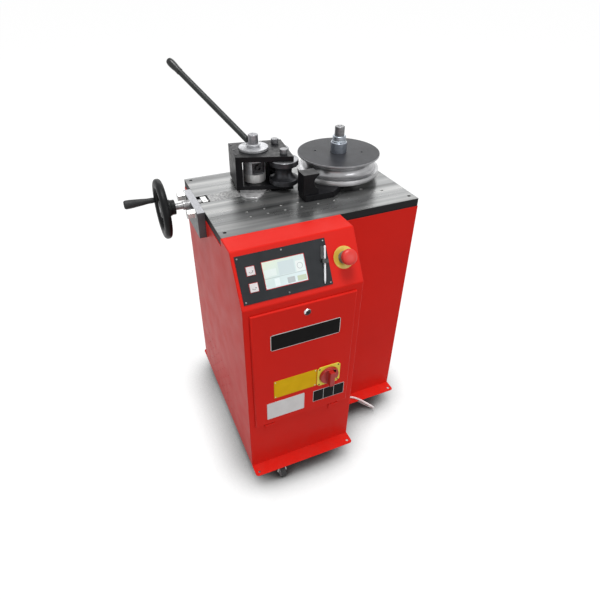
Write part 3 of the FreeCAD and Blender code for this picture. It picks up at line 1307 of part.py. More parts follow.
# Eccentric: drum between the yoke's plates, sleeve through the roof, disc and neck above it
def make_eccentric():
    drum_low = room_z + s.run_gap
    drum_high = roof_z - s.run_gap
    disc_low = roof_top + s.run_gap
    disc_high = roof_top + s.disc_thick
    drum = cylinder("drum", s.drum_radius, drum_high - drum_low, drum_x, drum_y, drum_low)
    sleeve = cylinder("sleeve", s.sleeve_radius, disc_low - drum_high, pivot_x, pivot_y, drum_high)
    disc = cylinder("disc", s.disc_radius, disc_high - disc_low, pivot_x, pivot_y, disc_low)
    step = s.neck_height / 2
    neck = turned("neck", [
        (0, 0), (s.neck_radius, 0), (s.neck_radius, step), (s.neck_ring, step + s.over),
        (s.neck_ring, s.neck_height - s.over), (s.neck_ring - s.over, s.neck_height), (0, s.neck_height)],
        pivot_x, pivot_y, disc_high)
    bore = cylinder("eccentric_bore", s.pivot_radius + s.run_gap, disc_high + s.neck_height - room_z,
                    pivot_x, pivot_y, room_z)
    window_y = drum_y - s.drum_radius + s.window_depth
    window = box("drum_window", s.window_width, s.window_depth + s.over, s.window_height,
                 drum_x - s.window_left, window_y - s.window_depth - s.over, room_z + s.window_low)
    socket_x = drum_x + s.socket_dx
    socket_z = room_z + s.socket_height
    socket = ring("drum_socket", s.socket_hole, s.socket_radius, s.socket_length, socket_x, window_y,
                  socket_z, AGAINST_Y)
    return group("eccentric_set", cut("eccentric", fuse("eccentric_solid", drum, sleeve, disc, neck),
                                      bore, window), socket)


piece(make_eccentric(), "eccentric_shaft")

# Clamp lever: a rod rising from the neck, with a black grip on its end
lever_way = (cosine(s.lever_azimuth) * cosine(s.lever_rise), sine(s.lever_azimuth) * cosine(s.lever_rise),
             sine(s.lever_rise))
lever_turn = Rotation(Vector(0, 0, 1), Vector(*[float(share) for share in lever_way]))
lever_root = roof_top + s.disc_thick + s.over


def on_lever(reach):
    """Place on the lever's middle line, so far from the pivot's axis."""
    return (pivot_x + reach * lever_way[0], pivot_y + reach * lever_way[1],
            lever_root + reach * lever_way[2])


def make_lever():
    rod_end = s.lever_length - s.grip_length + s.grip_socket
    rod = cylinder("lever_rod", s.lever_radius, rod_end - s.neck_radius, *on_lever(s.neck_radius),
                   lever_turn)
    neck_room = cylinder("lever_neck_room", s.neck_ring, s.disc_radius, pivot_x, pivot_y,
                         lever_root - s.lever_radius)
    return cut("lever", rod, neck_room)


piece(make_lever(), "clamp_lever")


def make_grip():
    start = s.lever_length - s.grip_length
    tube = cylinder("grip_tube", s.grip_radius, s.grip_length - s.grip_cap, *on_lever(start), lever_turn)
    cap = cone("grip_cap", s.grip_radius, s.grip_radius * 0.7, s.grip_cap,
               *on_lever(s.lever_length - s.grip_cap), lever_turn)
    socket = cylinder("grip_socket", s.lever_radius, s.grip_socket + s.over, *on_lever(start - s.over),
                      lever_turn)
    return cut("grip", fuse("grip_solid", tube, cap), socket)


piece(make_grip(), "lever_grip")

# Castors: two swivel ones in front, two fixed ones behind
wheel_z = s.wheel_size
crown_z = s.wheel_size * 2 + s.crown_gap
castor_plate_z = s.castor_height - s.castor_plate_sheet
castors = [
    ("front_left", left + s.left_castor_x, front + s.left_castor_y, -s.castor_trail, s.run_gap),
    ("front_right", right - s.right_castor_inset, front + s.right_castor_y, s.castor_trail, s.run_gap),
    ("rear_left", left + s.right_castor_inset, back - s.rear_castor_inset, as_size(0), as_size(0)),
    ("rear_right", right - s.right_castor_inset, back - s.rear_castor_inset, as_size(0), as_size(0)),
]


def make_fork(name, x, y, trail):
    """A folded fork that holds one wheel's axle, trail being the axle's way behind the stem."""
    inside = s.tread / 2 + s.fork_gap
    outside = inside + s.fork_sheet
    half = s.crown_depth / 2
    crown = box(name + "_crown", outside * 2, s.crown_depth, s.fork_sheet, x - outside, y - half, crown_z)
    corners = [
        (-half, crown_z + s.fork_sheet), (-half, crown_z), (trail - s.axle_radius * 2, wheel_z),
        (trail, wheel_z - s.axle_radius * 2), (trail + s.axle_radius * 2, wheel_z), (half, crown_z),
        (half, crown_z + s.fork_sheet),
    ]
    cheeks = [plate(f"{name}_cheek_{i}", "YZ_Plane", corners, s.fork_sheet, cheek_x, y, 0)
              for i, cheek_x in enumerate((x - outside, x + inside))]
    axle = cylinder(name + "_axle", s.axle_radius, (outside + s.fork_sheet) * 2,
                    x - outside - s.fork_sheet, y + trail, wheel_z, ALONG_X)
    return fuse(name, crown, *cheeks, axle)


def make_castor_mount(name, x, y, gap, extra):
    half = s.castor_plate / 2
    low = crown_z + s.fork_sheet + gap
    solids = [
        box(name + "_plate", s.castor_plate, s.castor_plate, s.castor_plate_sheet, x - half, y - half,
            castor_plate_z),
        cylinder(name + "_stem", s.kingpin, castor_plate_z - low, x, y, low),
    ]
    inset = s.castor_plate * 0.38
    for i, (a, b) in enumerate(((-1, -1), (1, -1), (1, 1), (-1, 1))):
        solids.append(cylinder(f"{name}_bolt_{i}", s.castor_bolt, s.castor_bolt_head, x + inset * a,
                               y + inset * b, castor_plate_z - s.castor_bolt_head))
    return fuse(name, *solids, *extra)


mounts = []
for place, castor_x, castor_y, trail, gap in castors:
    fork = make_fork(f"{place}_fork", castor_x, castor_y, trail)
    swivels = place.startswith("front")
    mounts.append(make_castor_mount(f"{place}_mount", castor_x, castor_y, gap, [] if swivels else [fork]))
    if swivels:
        piece(fork, "castor_fork_" + place.split("_")[1])
    bore = s.axle_radius + s.run_gap
    side = s.tread / 2
    edge = s.roller_edge
    piece(turned(f"{place}_wheel", [
        (bore, -side), (s.wheel_size - edge, -side), (s.wheel_size, edge - side),
        (s.wheel_size, side - edge), (s.wheel_size - edge, side), (bore, side)],
        castor_x, castor_y + trail, wheel_z, ALONG_X), "castor_wheel_" + place)
piece(group("castor_mount_set", *mounts), "castor_mounts")

# Mains lead: gland on the column's right cheek
gland_y = front + s.gland_y
gland_z = base_top + s.gland_height
gland_end = column_right + s.gland_nut + s.gland_cone
piece(fuse("gland",
           hexagon("gland_hexagon", s.gland_radius * 1.9, s.gland_nut, column_right, gland_y, gland_z,
                   ALONG_X),
           cone("gland_cone", s.gland_radius - s.over, s.cord_diameter / 2 + s.over, s.gland_cone,
                column_right + s.gland_nut, gland_y, gland_z, ALONG_X)),
      "cable_gland")

# The lead's loose stretch: over the flange, off its edge in one wide turn, and back below the machine
cord_radius = float(s.cord_diameter) / 2
floor_z = cord_radius + 0.05
coil_middle = Vector(float(s.coil_x), float(s.coil_y), 0)
coil_start = coil_middle + Vector(float(s.coil_radius), -float(s.cord_diameter), floor_z)
cord_route = [
    Vector(float(gland_end), float(gland_y), float(gland_z)),
    Vector(99, -252.2, 93), Vector(129, -253, 86), Vector(159, -259.5, 82.6), Vector(177.2, -276.6, 82.5),
    Vector(198.8, -309.4, 82.4), Vector(227.6, -323.9, 59.4), Vector(246.4, -311.5, 27.2),
    Vector(244.4, -279.4, floor_z), Vector(213.6, -232.6, floor_z), Vector(177, -148, floor_z),
    Vector(147, -36, floor_z), Vector(132, 82, floor_z), Vector(111, 192, floor_z),
    Vector(coil_start.x, 274, floor_z), coil_start,
]


def bend(start, corner, end):
    """The arc that leaves start and reaches end along two equally long legs that meet at corner."""
    into = (corner - start).normalize()
    out = (end - corner).normalize()
    half_turn = into.getAngle(out) / 2
    if half_turn < 1e-5:
        return Part.LineSegment(start, end).toShape(), 0
    radius = (corner - start).Length / math.tan(half_turn)
    inward = (out - into).normalize()
    middle = corner + inward * (radius / math.cos(half_turn) - radius)
    return Part.Arc(start, middle, end).toShape(), radius


def rounded_runs(points):
    """Straight runs joined by arcs, each as large as its two runs allow."""
    edges = []
    radii = []
    start = points[0]
    for before, corner, after in zip(points, points[1:], points[2:]):
        reach = 0.45 * min((corner - before).Length, (after - corner).Length)
        first = corner + (before - corner).normalize() * reach
        last = corner + (after - corner).normalize() * reach
        arc, radius = bend(first, corner, last)
        edges += [Part.LineSegment(start, first).toShape(), arc]
        radii.append(radius)
        start = last
    edges.append(Part.LineSegment(start, points[-1]).toShape())
    return edges, radii


def tube(name, edges):
    """A round tube of the lead's diameter along a chain of edges."""
    first = edges[0]
    start = first.valueAt(first.FirstParameter)
    way = first.tangentAt(first.FirstParameter)
    section = Part.Wire(Part.Circle(start, way, cord_radius).toShape())
    feature = doc.addObject("Part::Feature", name)
    feature.Shape = Part.Wire(edges).makePipeShell([section], True, False)
    feature.Placement = Placement()
    length = sum(edge.Length for edge in edges)
    share = feature.Shape.Volume / (math.pi * cord_radius * cord_radius * length)
    print(f"{name}: {length:.0f} mm long, volume {share:.4f} of section times length")
    return feature


cord_edges, cord_radii = rounded_runs(cord_route)
print("lead's bends:", ", ".join(f"{radius:.0f}" for radius in cord_radii), "mm")
piece(tube("lead", cord_edges), "power_cord")

# The lead's put-away length: turns that spiral in on the floor, climb a layer and spiral out again
layer = float(s.cord_diameter) + float(s.coil_gap)
quarters = round(float(s.coil_quarters))
plug_z = float(s.plug_radius) + 0.05


def coil_knot(number):
    """Centre line of the coil after so many quarter turns: its place and its direction."""
    middle = quarters / 2
    radius = float(s.coil_radius) - layer * (middle - abs(number - middle)) / 4
    angle = math.pi / 2 * number
    outward = Vector(math.cos(angle), math.sin(angle), 0)
    ahead = Vector(-math.sin(angle), math.cos(angle), 0)
    share = min(max((number - middle + 1) / 2, 0), 1)
    height = floor_z + layer * share
    way = ahead * radius
    if number == middle:
        way.z = 1.5 * layer / math.pi
    elif 0 < number < quarters:
        way += outward * (layer / (2 * math.pi) * (1 if number > middle else -1))
    if number == quarters:
        height = plug_z
    return coil_middle + outward * radius + Vector(0, 0, height), way.normalize()


def two_arcs(start, way, end, end_way):
    """Two arcs that join two points with their directions smoothly."""
    chord = end - start
    both = way + end_way
    bow = 2 * (1 - way.dot(end_way))
    reach = (math.sqrt(chord.dot(both) ** 2 + bow * chord.dot(chord)) - chord.dot(both)) / bow
    first = start + way * reach
    second = end - end_way * reach
    joint = (first + second) * 0.5
    return [bend(start, first, joint)[0], bend(joint, second, end)[0]]


knots = [coil_knot(number) for number in range(quarters + 1)]
coil_end, coil_way = knots[-1]
plug_start = coil_end + coil_way * float(s.cord_diameter)
coil_edges = [Part.LineSegment(coil_start, knots[0][0]).toShape()]
for (start, way), (end, end_way) in zip(knots, knots[1:]):
    coil_edges += two_arcs(start, way, end, end_way)
coil_edges.append(Part.LineSegment(coil_end, plug_start).toShape())
piece(tube("coil", coil_edges), "cord_coil")


def least_gap(edges, step):
    """Smallest space between parts of the tube that lie more than a quarter turn apart."""
    points = []
    along = 0
    for edge in edges:
        count = max(2, round(edge.Length / step))
        points += [(along + edge.Length * i / count, point)
                   for i, point in enumerate(edge.discretize(count + 1)[:-1])]
        along += edge.Length
    apart = float(s.coil_radius)
    return min((a - b).Length for i, (far, a) in enumerate(points)
               for near, b in points[:i] if far - near > apart) - 2 * cord_radius


print(f"coil's least gap: {least_gap(coil_edges, 1.5):.2f} mm")


# Plug: a round two-pin plug on the coil's end, lying on the floor
def make_plug():
    turn = Rotation(Vector(0, 0, 1), coil_way)

    def ahead(reach):
        return plug_start + coil_way * float(reach)

    relief = doc.addObject("Part::Cone", "plug_relief")
    bind(relief, "Radius1", s.cord_diameter / 2 + s.over / 2)
    bind(relief, "Radius2", s.plug_radius * 0.6)
    bind(relief, "Height", s.plug_relief)
    relief.Placement = Placement(plug_start, turn)
    body = doc.addObject("Part::Cylinder", "plug_body")
    bind(body, "Radius", s.plug_radius)
    bind(body, "Height", s.plug_body)
    body.Placement = Placement(ahead(s.plug_relief), turn)
    pins = []
    for i, side in enumerate((-1, 1)):
        pin = doc.addObject("Part::Cylinder", f"plug_pin_{i}")
        bind(pin, "Radius", s.plug_pin)
        bind(pin, "Height", s.plug_pin_length)
        aside = Vector(coil_way.y, -coil_way.x, 0) * (float(s.plug_pin_spread) * side)
        pin.Placement = Placement(ahead(s.plug_relief + s.plug_body) + aside, turn)
        pins.append(pin)
    return fuse("plug", relief, body, *pins)


piece(make_plug(), "mains_plug")

doc.recompute()


def check(things):
    """Stop if any object failed, or a sub-part is missing or invalid."""
    for thing in doc.Objects:
        if {"Invalid", "Error"} & set(thing.State):
            raise RuntimeError(f"{thing.Name} ({thing.Label}) failed: {thing.State}")
    for thing in things:
        shape = thing.Shape
        if shape.isNull() or not shape.isValid() or not shape.Solids:
            raise RuntimeError(f"{thing.Label} has no valid solid")


check(pieces)
os.makedirs("parts", exist_ok=True)
for thing in pieces:
    thing.Shape.exportStep(f"parts/{thing.Label}.step")
print(len(pieces), "sub-parts")
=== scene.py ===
"""Looks of the electric bending press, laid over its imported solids, in metres and in their frame."""
import json
import math

import bmesh
import bpy
import numpy as np
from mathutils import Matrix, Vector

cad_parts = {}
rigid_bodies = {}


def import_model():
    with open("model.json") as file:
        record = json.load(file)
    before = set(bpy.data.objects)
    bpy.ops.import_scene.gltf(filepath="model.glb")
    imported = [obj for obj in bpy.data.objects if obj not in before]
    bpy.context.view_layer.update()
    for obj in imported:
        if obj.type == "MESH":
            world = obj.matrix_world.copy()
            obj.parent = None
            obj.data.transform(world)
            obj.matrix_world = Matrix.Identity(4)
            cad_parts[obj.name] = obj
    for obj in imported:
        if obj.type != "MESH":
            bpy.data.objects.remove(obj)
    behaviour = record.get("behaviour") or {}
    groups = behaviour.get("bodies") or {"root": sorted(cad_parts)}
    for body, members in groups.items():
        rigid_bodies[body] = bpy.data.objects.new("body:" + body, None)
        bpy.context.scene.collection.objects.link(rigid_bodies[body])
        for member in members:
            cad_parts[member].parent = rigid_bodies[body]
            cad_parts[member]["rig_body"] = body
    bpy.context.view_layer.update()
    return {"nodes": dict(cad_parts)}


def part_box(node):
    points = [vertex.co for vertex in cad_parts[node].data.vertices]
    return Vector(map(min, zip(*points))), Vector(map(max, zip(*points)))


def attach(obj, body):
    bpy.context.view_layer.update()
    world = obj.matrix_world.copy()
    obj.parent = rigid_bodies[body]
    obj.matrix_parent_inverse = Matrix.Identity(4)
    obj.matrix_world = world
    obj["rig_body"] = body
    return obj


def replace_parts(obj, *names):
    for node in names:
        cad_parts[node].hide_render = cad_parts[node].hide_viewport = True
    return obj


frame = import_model()
scene = bpy.context.scene
scene.view_settings.view_transform = "Standard"

# The eye
# The picture is taken by hand from the front left, about 1.7 m up, looking down on the press.
eye = bpy.data.objects.new("eye", bpy.data.cameras.new("eye"))
eye.location = (-0.6614, -1.4744, 1.7029)
eye.rotation_euler = [math.radians(angle) for angle in (53.591, 0.3535, -22.3046)]
eye.data.sensor_width = 36
eye.data.lens = 29.27
eye.data.shift_x = 0.0323
eye.data.shift_y = -0.0115
eye.data.clip_end = 100
scene.collection.objects.link(eye)
scene.camera = eye


# Mains lead
# A light grey three-core lead, 8.5 mm thick. It leaves the gland on the column's right side, drops to
# the floor and runs under the cabinet; what is left of it lies coiled behind, with its plug on the coil.
def dye(red, green, blue):
    """A colour as it is seen, 0 to 255 a channel, as the linear numbers that a shader takes."""
    seen = np.array([red, green, blue]) / 255
    return (*np.where(seen < 0.04045, seen / 12.92, ((seen + 0.055) / 1.055) ** 2.4), 1.0)


class Finish:
    """A finish while it is mixed. Each step adds one node and returns what comes out of it."""

    def __init__(self, name, **steady):
        self.made = bpy.data.materials.new(name)
        self.made.use_nodes = True
        self.tree = self.made.node_tree
        self.shader = self.tree.nodes["Principled BSDF"]
        for socket, value in steady.items():
            self.shader.inputs[socket.replace("_", " ")].default_value = value
        self.spot = self.node("TexCoord").outputs["Object"]

    def node(self, kind, feeds=(), **settings):
        made = self.tree.nodes.new("ShaderNode" + kind)
        for word, value in settings.items():
            setattr(made, word, value)
        for socket, feed in dict(feeds).items():
            if isinstance(feed, bpy.types.NodeSocket):
                self.tree.links.new(feed, made.inputs[socket])
            else:
                made.inputs[socket].default_value = feed
        return made

    def calc(self, work, one, other=0.0):
        return self.node("Math", {0: one, 1: other}, operation=work).outputs[0]

    def blend(self, *parts):
        """The sum of several feeds, each times its share."""
        *earlier, (feed, share) = parts
        total = self.calc("MULTIPLY", feed, share)
        for feed, share in reversed(earlier):
            total = self.calc("ADD", self.calc("MULTIPLY", feed, share), total)
        return total

    def long_side(self, one, two):
        """How long the long side of a right triangle is, from its short ones."""
        return self.calc("SQRT", self.calc("ADD", self.calc("MULTIPLY", one, one),
                                           self.calc("MULTIPLY", two, two)))

    def span(self, feed, low, high, near=0.0, far=1.0):
        """The feed's stretch from low to high, drawn out to run from near to far and held there."""
        return self.node("MapRange", {"Value": feed, "From Min": low, "From Max": high,
                                      "To Min": near, "To Max": far}).outputs[0]

    def reach(self, way, start=0.0):
        """How many millimetres a spot lies along a direction, counted from start."""
        along = self.node("VectorMath", {0: self.spot, 1: [share * 1000 for share in way]},
                          operation="DOT_PRODUCT").outputs["Value"]
        return self.calc("SUBTRACT", along, start)

    def inside(self, feed, low, high, soft=0.3):
        """1 where the feed is between low and high, 0 outside, with edges as wide as soft."""
        return self.calc("MINIMUM", self.span(feed, low - soft, low + soft),
                         self.span(feed, high - soft, high + soft, 1, 0))

    def grain(self, size, draw=(1, 1, 1), detail=3.0, at=None):
        """Cloudy noise with lumps of about size millimetres, drawn longer along an axis by its draw."""
        scale = [1000 / (size * longer) for longer in draw]
        moved = self.node("Mapping", {"Vector": at or self.spot, "Scale": scale}).outputs[0]
        return self.node("TexNoise", {"Vector": moved, "Scale": 1.0, "Detail": detail}).outputs[0]

    def lathe(self, foot, way=(0, 0, 1)):
        """Coordinates of a turned part: how far a spot is from its axis, how far along it, and nothing
        round it. Both lengths in millimetres and the turn round the axis are kept for other steps."""
        aside, other, along = cross_axes(way)
        one, two = (self.reach(axis, float(np.dot(foot, axis))) for axis in (aside, other))
        self.height = self.reach(along, float(np.dot(foot, along)))
        self.apart = self.long_side(one, two)
        self.turn = self.calc("ARCTAN2", one, two)
        return self.node("CombineXYZ", {0: self.calc("DIVIDE", self.apart, 1000),
                                        1: self.calc("DIVIDE", self.height, 1000)}).outputs[0]

    def tones(self, feed, *stops):
        """Colours along a feed from 0 to 1, each stop a place and a colour as seen."""
        ramp = self.node("ValToRGB", {0: feed})
        for _ in stops[2:]:
            ramp.color_ramp.elements.new(0.5)
        for element, (place, colour) in zip(ramp.color_ramp.elements, stops):
            element.position = place
            element.color = dye(*colour)
        return ramp.outputs[0]

    def over(self, share, under, cover):
        """One colour laid over another, as much as share says."""
        return self.node("Mix", {0: share, 6: under, 7: cover}, data_type="RGBA").outputs[2]

    def relief(self, height, depth, under=None):
        """Bumps in the surface: a height from 0 to 1 stands for depth in millimetres."""
        feeds = {"Height": height, "Distance": depth / 1000}
        if under:
            feeds["Normal"] = under
        return self.node("Bump", feeds).outputs[0]

    def done(self, colour=None, rough=None, normal=None):
        for socket, feed in (("Base Color", colour), ("Roughness", rough), ("Normal", normal)):
            if isinstance(feed, bpy.types.NodeSocket):
                self.tree.links.new(feed, self.shader.inputs[socket])
            elif feed is not None:
                self.shader.inputs[socket].default_value = feed
        return self.made


def moulded(name, dark, light, rough, depth=0.03, size=0.7, level=0.5):
    """Moulded plastic or rubber: two near tones, a fine spark-eroded grain and a slightly uneven sheen."""
    mix = Finish(name, Specular_IOR_Level=level)
    cloud = mix.grain(60)
    return mix.done(mix.tones(cloud, (0.3, dark), (0.7, light)),
                    mix.span(mix.grain(18), 0.3, 0.7, rough - 0.06, rough + 0.08),
                    mix.relief(mix.grain(size, detail=2), depth))


def skin(name, grids, finish, ring=True):
    """A skin over one or more grids of points in millimetres. Rows run along the piece and columns round
    it; each face joins four neighbours, and on a ring the last column meets the first. Rows that shrink
    to one point close an end, and equal first and last rows close a tube."""
    places, quads, count = [], [], 0
    for points in grids if isinstance(grids, list) else [grids]:
        rows, columns = points.shape[:2]
        here = count + np.arange(rows * columns).reshape(rows, columns)
        near, far = (here, np.roll(here, -1, 1)) if ring else (here[:, :-1], here[:, 1:])
        quads.append(np.stack([near[:-1], far[:-1], far[1:], near[1:]], -1).reshape(-1, 4))
        places.append(points.reshape(-1, 3))
        count += rows * columns
    mesh = bpy.data.meshes.new(name)
    mesh.from_pydata((np.concatenate(places) / 1000).tolist(), [], np.concatenate(quads).tolist())
    return closed(name, mesh, finish)


def closed(name, mesh, finish):
    """Doubles merged, faces turned outwards and smooth, and the object made."""
    work = bmesh.new()
    work.from_mesh(mesh)
    bmesh.ops.remove_doubles(work, verts=work.verts, dist=2e-6)
    bmesh.ops.recalc_face_normals(work, faces=work.faces)
    work.to_mesh(mesh)
    work.free()
    mesh.shade_smooth()
    mesh.materials.append(finish)
    piece = bpy.data.objects.new(name, mesh)
    scene.collection.objects.link(piece)
    return piece


def eased(corners, cut, steps=5):
    """A profile with its corners rounded: each is cut back along both legs and crossed by a parabola,
    with one more point on each leg just outside, so that the flats stay flat in the light."""
    corners = np.asarray(corners, float)
    legs = np.diff(corners, axis=0)
    lengths = np.linalg.norm(legs, axis=1, keepdims=True)
    ways = legs / np.maximum(lengths, 1e-9)
    cut = np.broadcast_to(np.asarray(cut, float), len(corners))[1:-1, None]
    back = np.minimum(cut, lengths[:-1] * 0.35)
    ahead = np.minimum(cut, lengths[1:] * 0.35)
    middle = corners[1:-1]
    start, end = middle - ways[:-1] * back, middle + ways[1:] * ahead
    t = np.linspace(0, 1, steps)[None, :, None]
    arcs = (1 - t) ** 2 * start[:, None] + 2 * t * (1 - t) * middle[:, None] + t ** 2 * end[:, None]
    outer = (start - ways[:-1] * back * 0.3)[:, None], (end + ways[1:] * ahead * 0.3)[:, None]
    arcs = np.concatenate([outer[0], arcs, outer[1]], 1)
    return np.concatenate([corners[:1], arcs.reshape(-1, 2), corners[-1:]])


def cross_axes(way):
    """Two directions square to a third, which comes last."""
    way = np.asarray(way, float) / np.linalg.norm(way)
    aside = np.cross(way, (0, 0, 1) if abs(way[2]) < 0.9 else (1, 0, 0))
    aside /= np.linalg.norm(aside)
    return aside, np.cross(way, aside), way


def turned_grid(profile, foot, way=(0, 0, 1), sides=96):
    """A turned shape: the profile's pairs of radius and height are carried round the axis, so each spot
    is foot + height along the axis + radius times the cosine and sine of the turn across it."""
    aside, across, along = cross_axes(way)
    turn = np.linspace(0, 2 * np.pi, sides, endpoint=False)[None, :, None]
    radius, height = np.asarray(profile, float).T[:, :, None, None]
    return (np.asarray(foot, float) + height * along
            + radius * (np.cos(turn) * aside + np.sin(turn) * across))


def turned(name, profile, foot, finish, way=(0, 0, 1), sides=96):
    """One turned piece."""
    return skin(name, turned_grid(profile, foot, way, sides), finish)


def rounded_outline(width, height, corner, inset, steps=6):
    """Points round a rectangle with round corners, drawn in by inset: each corner is a quarter circle
    about the middle of its rounding."""
    quarter = np.linspace(0, np.pi / 2, steps)
    turn = (quarter[None] + np.arange(4)[:, None] * np.pi / 2).ravel()
    signs = np.repeat([[1, 1], [-1, 1], [-1, -1], [1, -1]], steps, 0)
    middles = signs * [width / 2 - corner, height / 2 - corner]
    radius = max(corner - inset, 0.02)
    shift = max(inset - corner, 0)
    return middles - signs * shift + radius * np.stack([np.cos(turn), np.sin(turn)], -1)


def slab(name, width, height, corner, profile, middle, axes, finish, steps=6):
    """A plate or block: the outline of a rounded rectangle is carried up the profile's pairs of inset
    and level, and both ends are filled in to their middles."""
    rows = [rounded_outline(width, height, corner, inset, steps) for inset, _ in profile]
    levels = [level for _, level in profile]
    rows = [rows[0] * 0] + rows + [rows[-1] * 0]
    levels = [levels[0]] + levels + [levels[-1]]
    flat = np.array(rows)
    points = (np.asarray(middle, float) + flat[..., :1] * axes[0] + flat[..., 1:] * axes[1]
              + np.array(levels)[:, None, None] * axes[2])
    return skin(name, points, finish)


cord_route = [
    (75, -252, 94), (99, -252.2, 93), (129, -253, 86), (159, -259.5, 82.6), (177.2, -276.6, 82.5),
    (198.8, -309.4, 82.4), (227.6, -323.9, 59.4), (246.4, -311.5, 27.2), (244.4, -279.4, 4.3),
    (213.6, -232.6, 4.3), (177, -148, 4.3), (147, -36, 4.3), (132, 82, 4.3), (111, 192, 4.3),
    (106.5, 274, 4.3), (106.5, 335.5, 4.3),
]
coil_middle = (46.5, 344)
points_a_quarter = 3
quarter = np.arange(1, 22 * points_a_quarter + 1) / points_a_quarter
coil_radius = (60 - 9 * (11 - abs(quarter - 11)) / 4) * 1.03
coil_turn = quarter * np.pi / 2
coil = np.stack([coil_middle[0] + coil_radius * np.cos(coil_turn),
                 coil_middle[1] + coil_radius * np.sin(coil_turn),
                 np.interp(quarter, [0, 10, 12, 21, 22], [4.3, 4.3, 13.3, 13.3, 17.05])], -1)
cord_points = np.concatenate([cord_route, coil, [(-13.5, 335.5, 17.05)]]) / 1000
cord_line = bpy.data.curves.new("mains_lead", "CURVE")
cord_line.dimensions = "3D"
cord_line.bevel_depth = 0.0085 / 2
cord_line.bevel_resolution = 5
cord_line.resolution_u = 10
cord_line.use_fill_caps = True
spline = cord_line.splines.new("NURBS")
spline.points.add(len(cord_points) - 1)
spline.points.foreach_set("co", np.c_[cord_points, np.ones(len(cord_points))].ravel())
spline.order_u = 3
spline.use_endpoint_u = True
cord_line.materials.append(moulded("grey_lead", (222, 214, 215), (230, 223, 224), 0.42, 0.01, 0.5))
lead = bpy.data.objects.new("mains_lead", cord_line)
scene.collection.objects.link(lead)
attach(lead, "machine")
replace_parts(lead, "power_cord", "cord_coil")

# The plug is moulded on the lead: a ribbed relief, a round body with finger grips and two round pins.
plug_foot = (-13.5, 335.5, 17.1)
ribs = np.arange(5) * 4.0
rib_profile = np.stack([np.stack([6.0 + ribs * 0.22, ribs + 0.6], -1),
                        np.stack([6.4 + ribs * 0.22, ribs + 1.0], -1),
                        np.stack([6.4 + ribs * 0.22, ribs + 2.6], -1),
                        np.stack([5.2 + ribs * 0.22, ribs + 3.0], -1),
                        np.stack([5.2 + ribs * 0.22, ribs + 4.2], -1)], 1).reshape(-1, 2)
plug_profile = np.concatenate([
    [(0, 0), (4.6, 0)], rib_profile, [(7.5, 22)],
    eased([(7.5, 22), (11, 27), (15.6, 33), (14.2, 42), (17, 54), (17, 66), (0, 66)], 2.5)])
plug = turned("mains_plug_body", plug_profile, plug_foot,
              moulded("grey_plug", (204, 201, 202), (214, 211, 212), 0.45, 0.02), (0, -1, 0), 64)
pin_metal = Finish("plated_pins", Metallic=1.0)
pin_finish = pin_metal.done(pin_metal.tones(pin_metal.grain(4), (0.3, (176, 174, 166)),
                                            (0.7, (205, 203, 196))),
                            pin_metal.span(pin_metal.grain(2), 0.3, 0.7, 0.2, 0.35))
for side in (-1, 1):
    pin = turned(f"plug_pin_{side + 1}", eased([(0, 0), (2.4, 0), (2.4, 19), (0, 19)], 0.9),
                 (plug_foot[0] + 9.5 * side, plug_foot[1] - 66, plug_foot[2]), pin_finish, (0, -1, 0), 32)
    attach(pin, "machine")
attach(plug, "machine")
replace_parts(plug, "mains_plug")

# The gland is a black nylon screw fitting whose fingers taper down on to the lead.
black_nylon = moulded("black_nylon", (24, 24, 25), (34, 34, 36), 0.5)
hex_turn = np.linspace(0, 2 * np.pi, 72, endpoint=False)
hex_radius = 11.0 / np.cos((hex_turn + np.pi / 6) % (np.pi / 3) - np.pi / 6) * np.cos(np.pi / 6)
gland_rows = [(0, 0, 0), (0, 0.96, 0), (0, 1.0, 0.8), (0, 1.0, 7.2), (0, 0.96, 8),
              (1, 10.0, 8), (1, 9.6, 9.5), (1, 7.2, 20), (1, 5.6, 23.6), (1, 4.4, 24), (1, 4.3, 22)]
round_share = np.array([row[0] for row in gland_rows])[:, None]
size_share = np.array([row[1] for row in gland_rows])[:, None]
finger = 1 + 0.04 * np.cos(hex_turn * 12) * (size_share > 7)
gland_radius = np.where(round_share > 0, size_share * finger, size_share * hex_radius)
gland_level = np.array([row[2] for row in gland_rows])[:, None] + hex_turn * 0
gland = skin("lead_gland", np.stack([51 + gland_level, -252 + gland_radius * np.cos(hex_turn),
                                     94 + gland_radius * np.sin(hex_turn)], -1), black_nylon)
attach(gland, "machine")
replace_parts(gland, "cable_gland")

# Floor and light
# A pale seamless floor, a soft sky, one large lamp overhead, a window behind the press and a small
# one in front. The floor's glow dims where the press stands close over it, a painted shadow round and under
# it.
floor_mix = Finish("studio_floor", Roughness=0.9, Specular_IOR_Level=0.0)
path = floor_mix.node("LightPath").outputs
seen = floor_mix.calc("MAXIMUM", floor_mix.calc("MAXIMUM", path["Is Camera Ray"], path["Is Glossy Ray"]),
                      path["Is Transmission Ray"])
# The glow that whitens the floor falls away where the press hides the sky close by: a painted shadow.
painted_shadow_clearance = floor_mix.node("AmbientOcclusion", {"Distance": 0.2}, samples=16).outputs["AO"]
glow_less_painted_shadow = floor_mix.calc("MULTIPLY", seen, floor_mix.span(painted_shadow_clearance, 0.42, 0.93, 0.0, 0.93))
floor_mix.tree.links.new(glow_less_painted_shadow, floor_mix.shader.inputs["Emission Strength"])
floor_mix.shader.inputs["Emission Color"].default_value = (1, 1, 1, 1)
floor_cloud = floor_mix.tones(floor_mix.grain(900), (0.3, (158, 158, 158)), (0.7, (164, 164, 164)))
floor_finish = floor_mix.done(floor_mix.over(seen, floor_cloud, dye(96, 96, 96)))
floor = skin("floor", np.array([[(-40e3, -40e3, -0.05), (40e3, -40e3, -0.05)],
                                [(-40e3, 40e3, -0.05), (40e3, 40e3, -0.05)]]), floor_finish, False)

